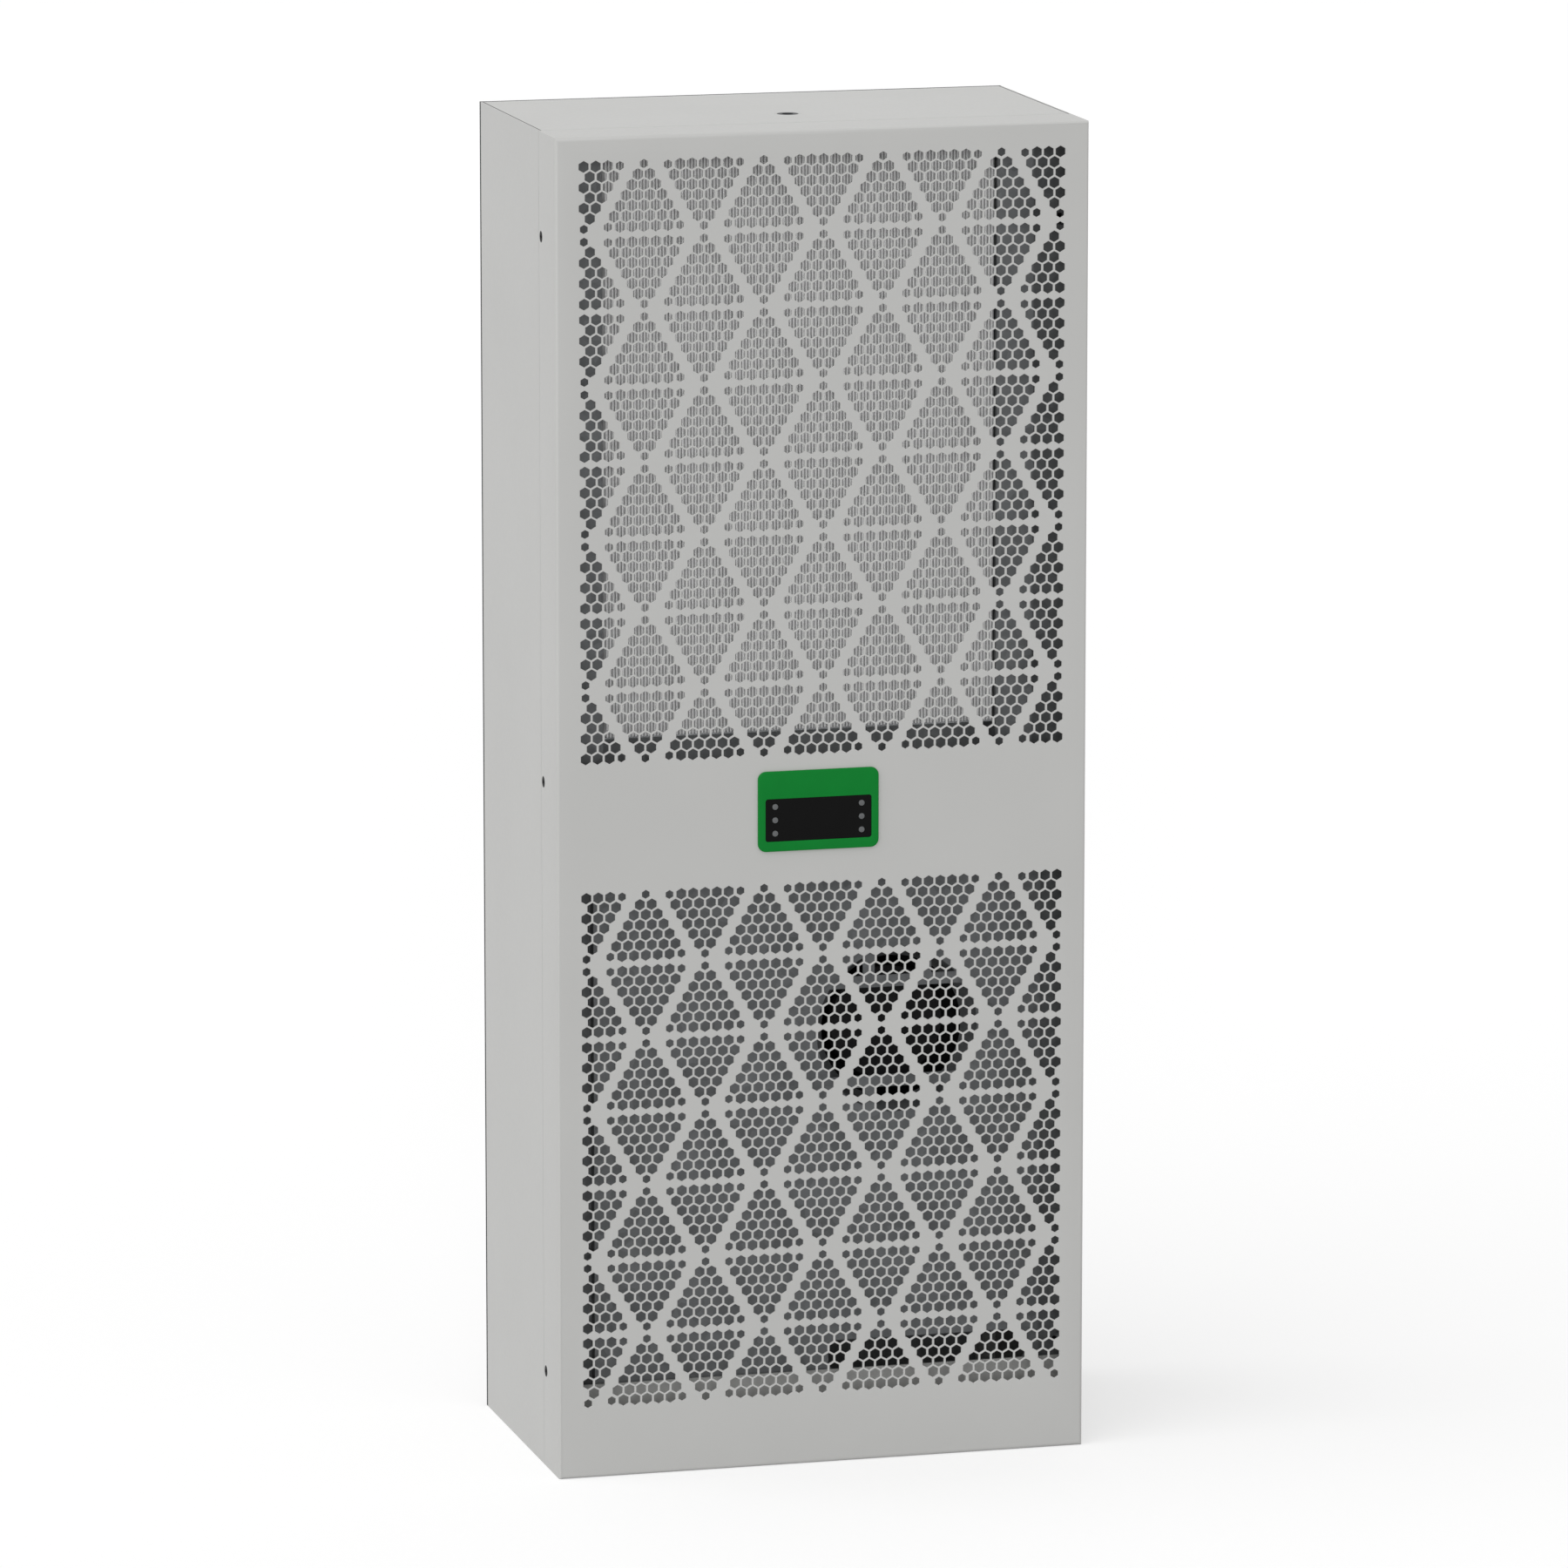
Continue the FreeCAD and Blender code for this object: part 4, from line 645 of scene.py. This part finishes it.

# %% [markdown]
# In the photograph the screws make larger and blacker spots than a bare head would, so the paint is made
# black in a thin ring round each head, round the mouth of the countersink: all that is nearer to a screw's
# axis than the ring's rim. Only the two flanges come so near to an axis.

# %% Black rings round the screw heads
SCREW_RING_EDGE = (4.2, 4.4)  # all black, all painted, in mm from the axis
FAR_OFF = 1.0             # metres, past the rim of any ring

screw_ring_tree = FINISHES["cover_paint"].node_tree
nearest = FAR_OFF
for y, z in screw_places:
    nearer = {0: from_axis(screw_ring_tree, (0, y, z), (0, 1, 1)), 1: nearest}
    nearest = add(screw_ring_tree, "Math", nearer, operation="MINIMUM").outputs[0]
# The paint turns black in a thin ring round each screw's head.
second_tone(FINISHES["cover_paint"], border(screw_ring_tree, nearest, SCREW_RING_EDGE), "#101011")
print("washers round", 2 * len(screw_places), "screws")

# %% [markdown]
# The coil behind the upper holes is a pack of aluminium fins on straight tubes, and the evaporator at the
# back is built alike. Flat fins would let the eye through to the dark, so real ones are pressed into waves.
# A fin is a wavy line in plan, a sine of the depth, given a thickness and carried straight up. All fins of
# a pack are one array.

# %% Fin packs
FIN_PITCH = 2.4 * MM
FIN_SHEET = 1.0 * MM      # real fins are a tenth as thick and would vanish between the pixels
WAVE = 11.0 * MM
WAVE_HEIGHT = 2.0 * MM
WAVE_STEPS = 8


def fin_pack(name, node):
    """Fins that fill a node's box.

    x is the fin's place plus the wave's height times the sine of the depth, plus or minus half a sheet.
    """
    low, high = np.array(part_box(node))
    count = int((high[0] - low[0] - 2 * WAVE_HEIGHT) / FIN_PITCH)
    steps = int((high[1] - low[1]) / WAVE * WAVE_STEPS) + 1
    places = (low[0] + high[0]) / 2 + (np.arange(count) - (count - 1) / 2) * FIN_PITCH
    depth = np.linspace(low[1], high[1], steps)
    line = WAVE_HEIGHT * np.sin(2 * np.pi * (depth - low[1]) / WAVE)
    outline = np.concatenate([line - FIN_SHEET / 2, line[::-1] + FIN_SHEET / 2])
    points = np.empty((count, 2, 2 * steps, 3))
    points[..., 0] = places[:, None, None] + outline
    points[..., 1] = np.concatenate([depth, depth[::-1]])
    points[..., 2] = np.array([low[2], high[2]])[:, None]
    step = np.arange(steps - 1)
    end = np.stack([step, step + 1, 2 * steps - 2 - step, 2 * steps - 1 - step], -1)
    fin = np.concatenate([grid(2, 2 * steps, round_rows=False)[0], end, end + 2 * steps])
    faces = fin + 4 * steps * np.arange(count)[:, None, None]
    make_piece(name, "case", "aluminium_fins", [node], points.reshape(-1, 3), [faces])


fin_pack("condenser_fins", "condenser_core")
fin_pack("evaporator_fins", "evaporator_core")

# %% [markdown]
# The fins are pressed on straight copper tubes, which end in the bends that show beside the coil. A tube is
# a circle carried along a line, and all tubes of a coil are one array. They hide between the fins, but the
# coil would fall apart without them.

# %% Coil tubes
TUBE_RADIUS = 4.8 * MM
TUBE_PITCH = 54.0 * MM
TUBE_CORNERS = 20


def coil_tubes(name, node):
    """Tubes through a node's box: a circle in y and z round each height, carried along x and closed."""
    low, high = np.array(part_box(node))
    count = 2 * int((high[2] - low[2]) / TUBE_PITCH / 2)
    heights = (low[2] + high[2]) / 2 + (np.arange(count) - (count - 1) / 2) * TUBE_PITCH
    middle = np.stack([np.full(count, (low[1] + high[1]) / 2), heights], -1)
    points = np.empty((count, 2, TUBE_CORNERS, 3))
    points[..., 0] = np.array([low[0], high[0]])[:, None]
    points[..., 1:] = ring(middle, TUBE_RADIUS, TUBE_CORNERS, 0.0)[:, None]
    wall = grid(2, TUBE_CORNERS, round_rows=False)[0]
    ends = np.arange(2 * TUBE_CORNERS).reshape(2, TUBE_CORNERS)
    starts = 2 * TUBE_CORNERS * np.arange(count)[:, None, None]
    make_piece(name, "case", "copper_tube", [], points.reshape(-1, 3), [wall + starts, ends + starts])


coil_tubes("condenser_tubes", "condenser_core")
coil_tubes("evaporator_tubes", "evaporator_core")

# %% [markdown]
# The controller's bezel is a moulded frame with a wide band above its window. Its outer edge is rounded, and
# a small radius leads down to the window. Its corners are round: there the path stands still while the
# profile swings through a right angle. Two such rectangles with the same number of points are joined by a
# ruled surface: the profile climbs the outer one, crosses the face and goes down the inner one.

# %% Controller bezel
BEZEL_CORNER = 6.0 * MM
BEZEL_EDGE = 0.8 * MM
WINDOW_CORNER = 2.0 * MM
WINDOW_EDGE = 0.25 * MM
WINDOW_GAP = 0.15 * MM


def swinging_path(low, high):
    """Path round a rectangle: at each corner the outward direction swings through a quarter turn."""
    corners = mitred_path(low, high)[0]
    quarters = np.arange(len(corners))[:, None] + np.linspace(0, 1, TURN_STEPS)
    turn = radians(90) * quarters.ravel()
    outward = np.stack([np.cos(turn), np.sin(turn)], -1)
    return np.repeat(corners, TURN_STEPS, 0), outward


def ruled_frame(outer, inner, profile_out, profile_in):
    """Closed frame: a profile of reach and y round each of two paths, and straight lines between them."""
    stations = len(outer[0])
    bands = [carried(*path, *profile).reshape(stations, -1, 3)
             for path, profile in ((outer, profile_out), (inner, profile_in))]
    points = np.concatenate(bands, 1)
    return points.reshape(-1, 3), [grid(*points.shape[:2])]


bezel_low, bezel_high = np.array(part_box("controller_bezel"))
window_low, window_high = np.array(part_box("display_window"))
front, back = bezel_low[1], bezel_high[1]
outer = swinging_path(bezel_low[[0, 2]] + BEZEL_CORNER, bezel_high[[0, 2]] - BEZEL_CORNER)
inset = WINDOW_CORNER - WINDOW_GAP
inner = swinging_path(window_low[[0, 2]] + inset, window_high[[0, 2]] - inset)
out_reach = BEZEL_CORNER + BEZEL_EDGE * np.concatenate([[0], np.cos(fold) - 1])
out_y = np.concatenate([[back], front + BEZEL_EDGE * (1 - np.sin(fold))])
in_reach = WINDOW_CORNER + WINDOW_EDGE * np.concatenate([1 - np.sin(fold), [0]])
in_y = np.concatenate([front + WINDOW_EDGE * (1 - np.cos(fold)), [back]])
make_piece("moulded_bezel", "case", "bezel_green", ["controller_bezel"],
           *ruled_frame(outer, inner, (out_reach, out_y), (in_reach, in_y)))

# %% [markdown]
# The six keys are small round caps with a slightly domed top and a collar that holds them behind the
# window. A lathe makes such a shape: a profile of radius and depth is turned about the key's own axis. Each
# key moves by itself, so each is a piece of its own that rides on its own body.

# %% Keys
KEY_DOME = 0.15 * MM
KEY_EDGE = 0.3 * MM
KEY_RADIUS = 2.2 * MM
KEY_COLLAR = 1.0 * MM
KEY_CORNERS = 40


def turned_key(name, node):
    """Cap turned about y: x and z are the axis plus the radius times the cosine and sine of the turn.

    The radius goes out over a shallow dome and a rounded edge, down the wall and out to the collar.
    """
    low, high = np.array(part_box(node))
    crown = np.linspace(0, 1, TURN_STEPS)
    shoulder = KEY_RADIUS - KEY_EDGE
    collar = (high[0] - low[0]) / 2
    radius = np.concatenate([shoulder * crown, shoulder + KEY_EDGE * np.sin(fold[1:]),
                             [KEY_RADIUS, collar, collar, 0]])
    depth = np.concatenate([KEY_DOME * crown ** 2, KEY_DOME + KEY_EDGE * (1 - np.cos(fold[1:]))]) + low[1]
    depth = np.concatenate([depth, [high[1] - KEY_COLLAR, high[1] - KEY_COLLAR, high[1], high[1]]])
    turn = ring(np.zeros((1, 2)), 1.0, KEY_CORNERS, 0.0)[0]
    middle = np.broadcast_to((low + high)[[0, 2]] / 2, turn.shape)
    make_piece(name, node, "key_grey", [node], carried(middle, turn, radius, depth),
               [grid(KEY_CORNERS, len(radius), round_columns=False)])


for key in sorted(node for node in frame["nodes"] if node.startswith("key_")):
    turned_key(key.replace("key_", "turned_key_"), key)

# %% [markdown]
# The gasket seals the back of the case against the enclosure. It is a foam strip with rounded edges, mitred
# at the corners, and it is cut flush with the case, so it shows as a dark line along the rear edges. Its
# profile is carried round a mitred path, as the cover's is.

# %% Rear gasket
GASKET_WIDTH = 14.0 * MM
GASKET_EDGE = 0.5 * MM

gasket_low, gasket_high = np.array(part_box("rear_gasket"))
case_low, case_high = (np.array(corner)[[0, 2]] for corner in cad_box)
gasket_path, mitres = mitred_path(case_low + GASKET_WIDTH, case_high - GASKET_WIDTH)
rounding = GASKET_EDGE * (1 - np.cos(fold))
rise = GASKET_EDGE * (1 - np.sin(fold))
gasket_reach = np.concatenate([[0], rounding, GASKET_WIDTH - rounding[::-1], [GASKET_WIDTH]])
gasket_top = gasket_high[1] - np.concatenate([rise, rise[::-1]])
gasket_y = np.concatenate([[gasket_low[1]], gasket_top, [gasket_low[1]]])
make_piece("foam_gasket", "case", "gasket_foam", ["rear_gasket"],
           carried(gasket_path, mitres, gasket_reach, gasket_y),
           [grid(len(gasket_path), len(gasket_reach))])
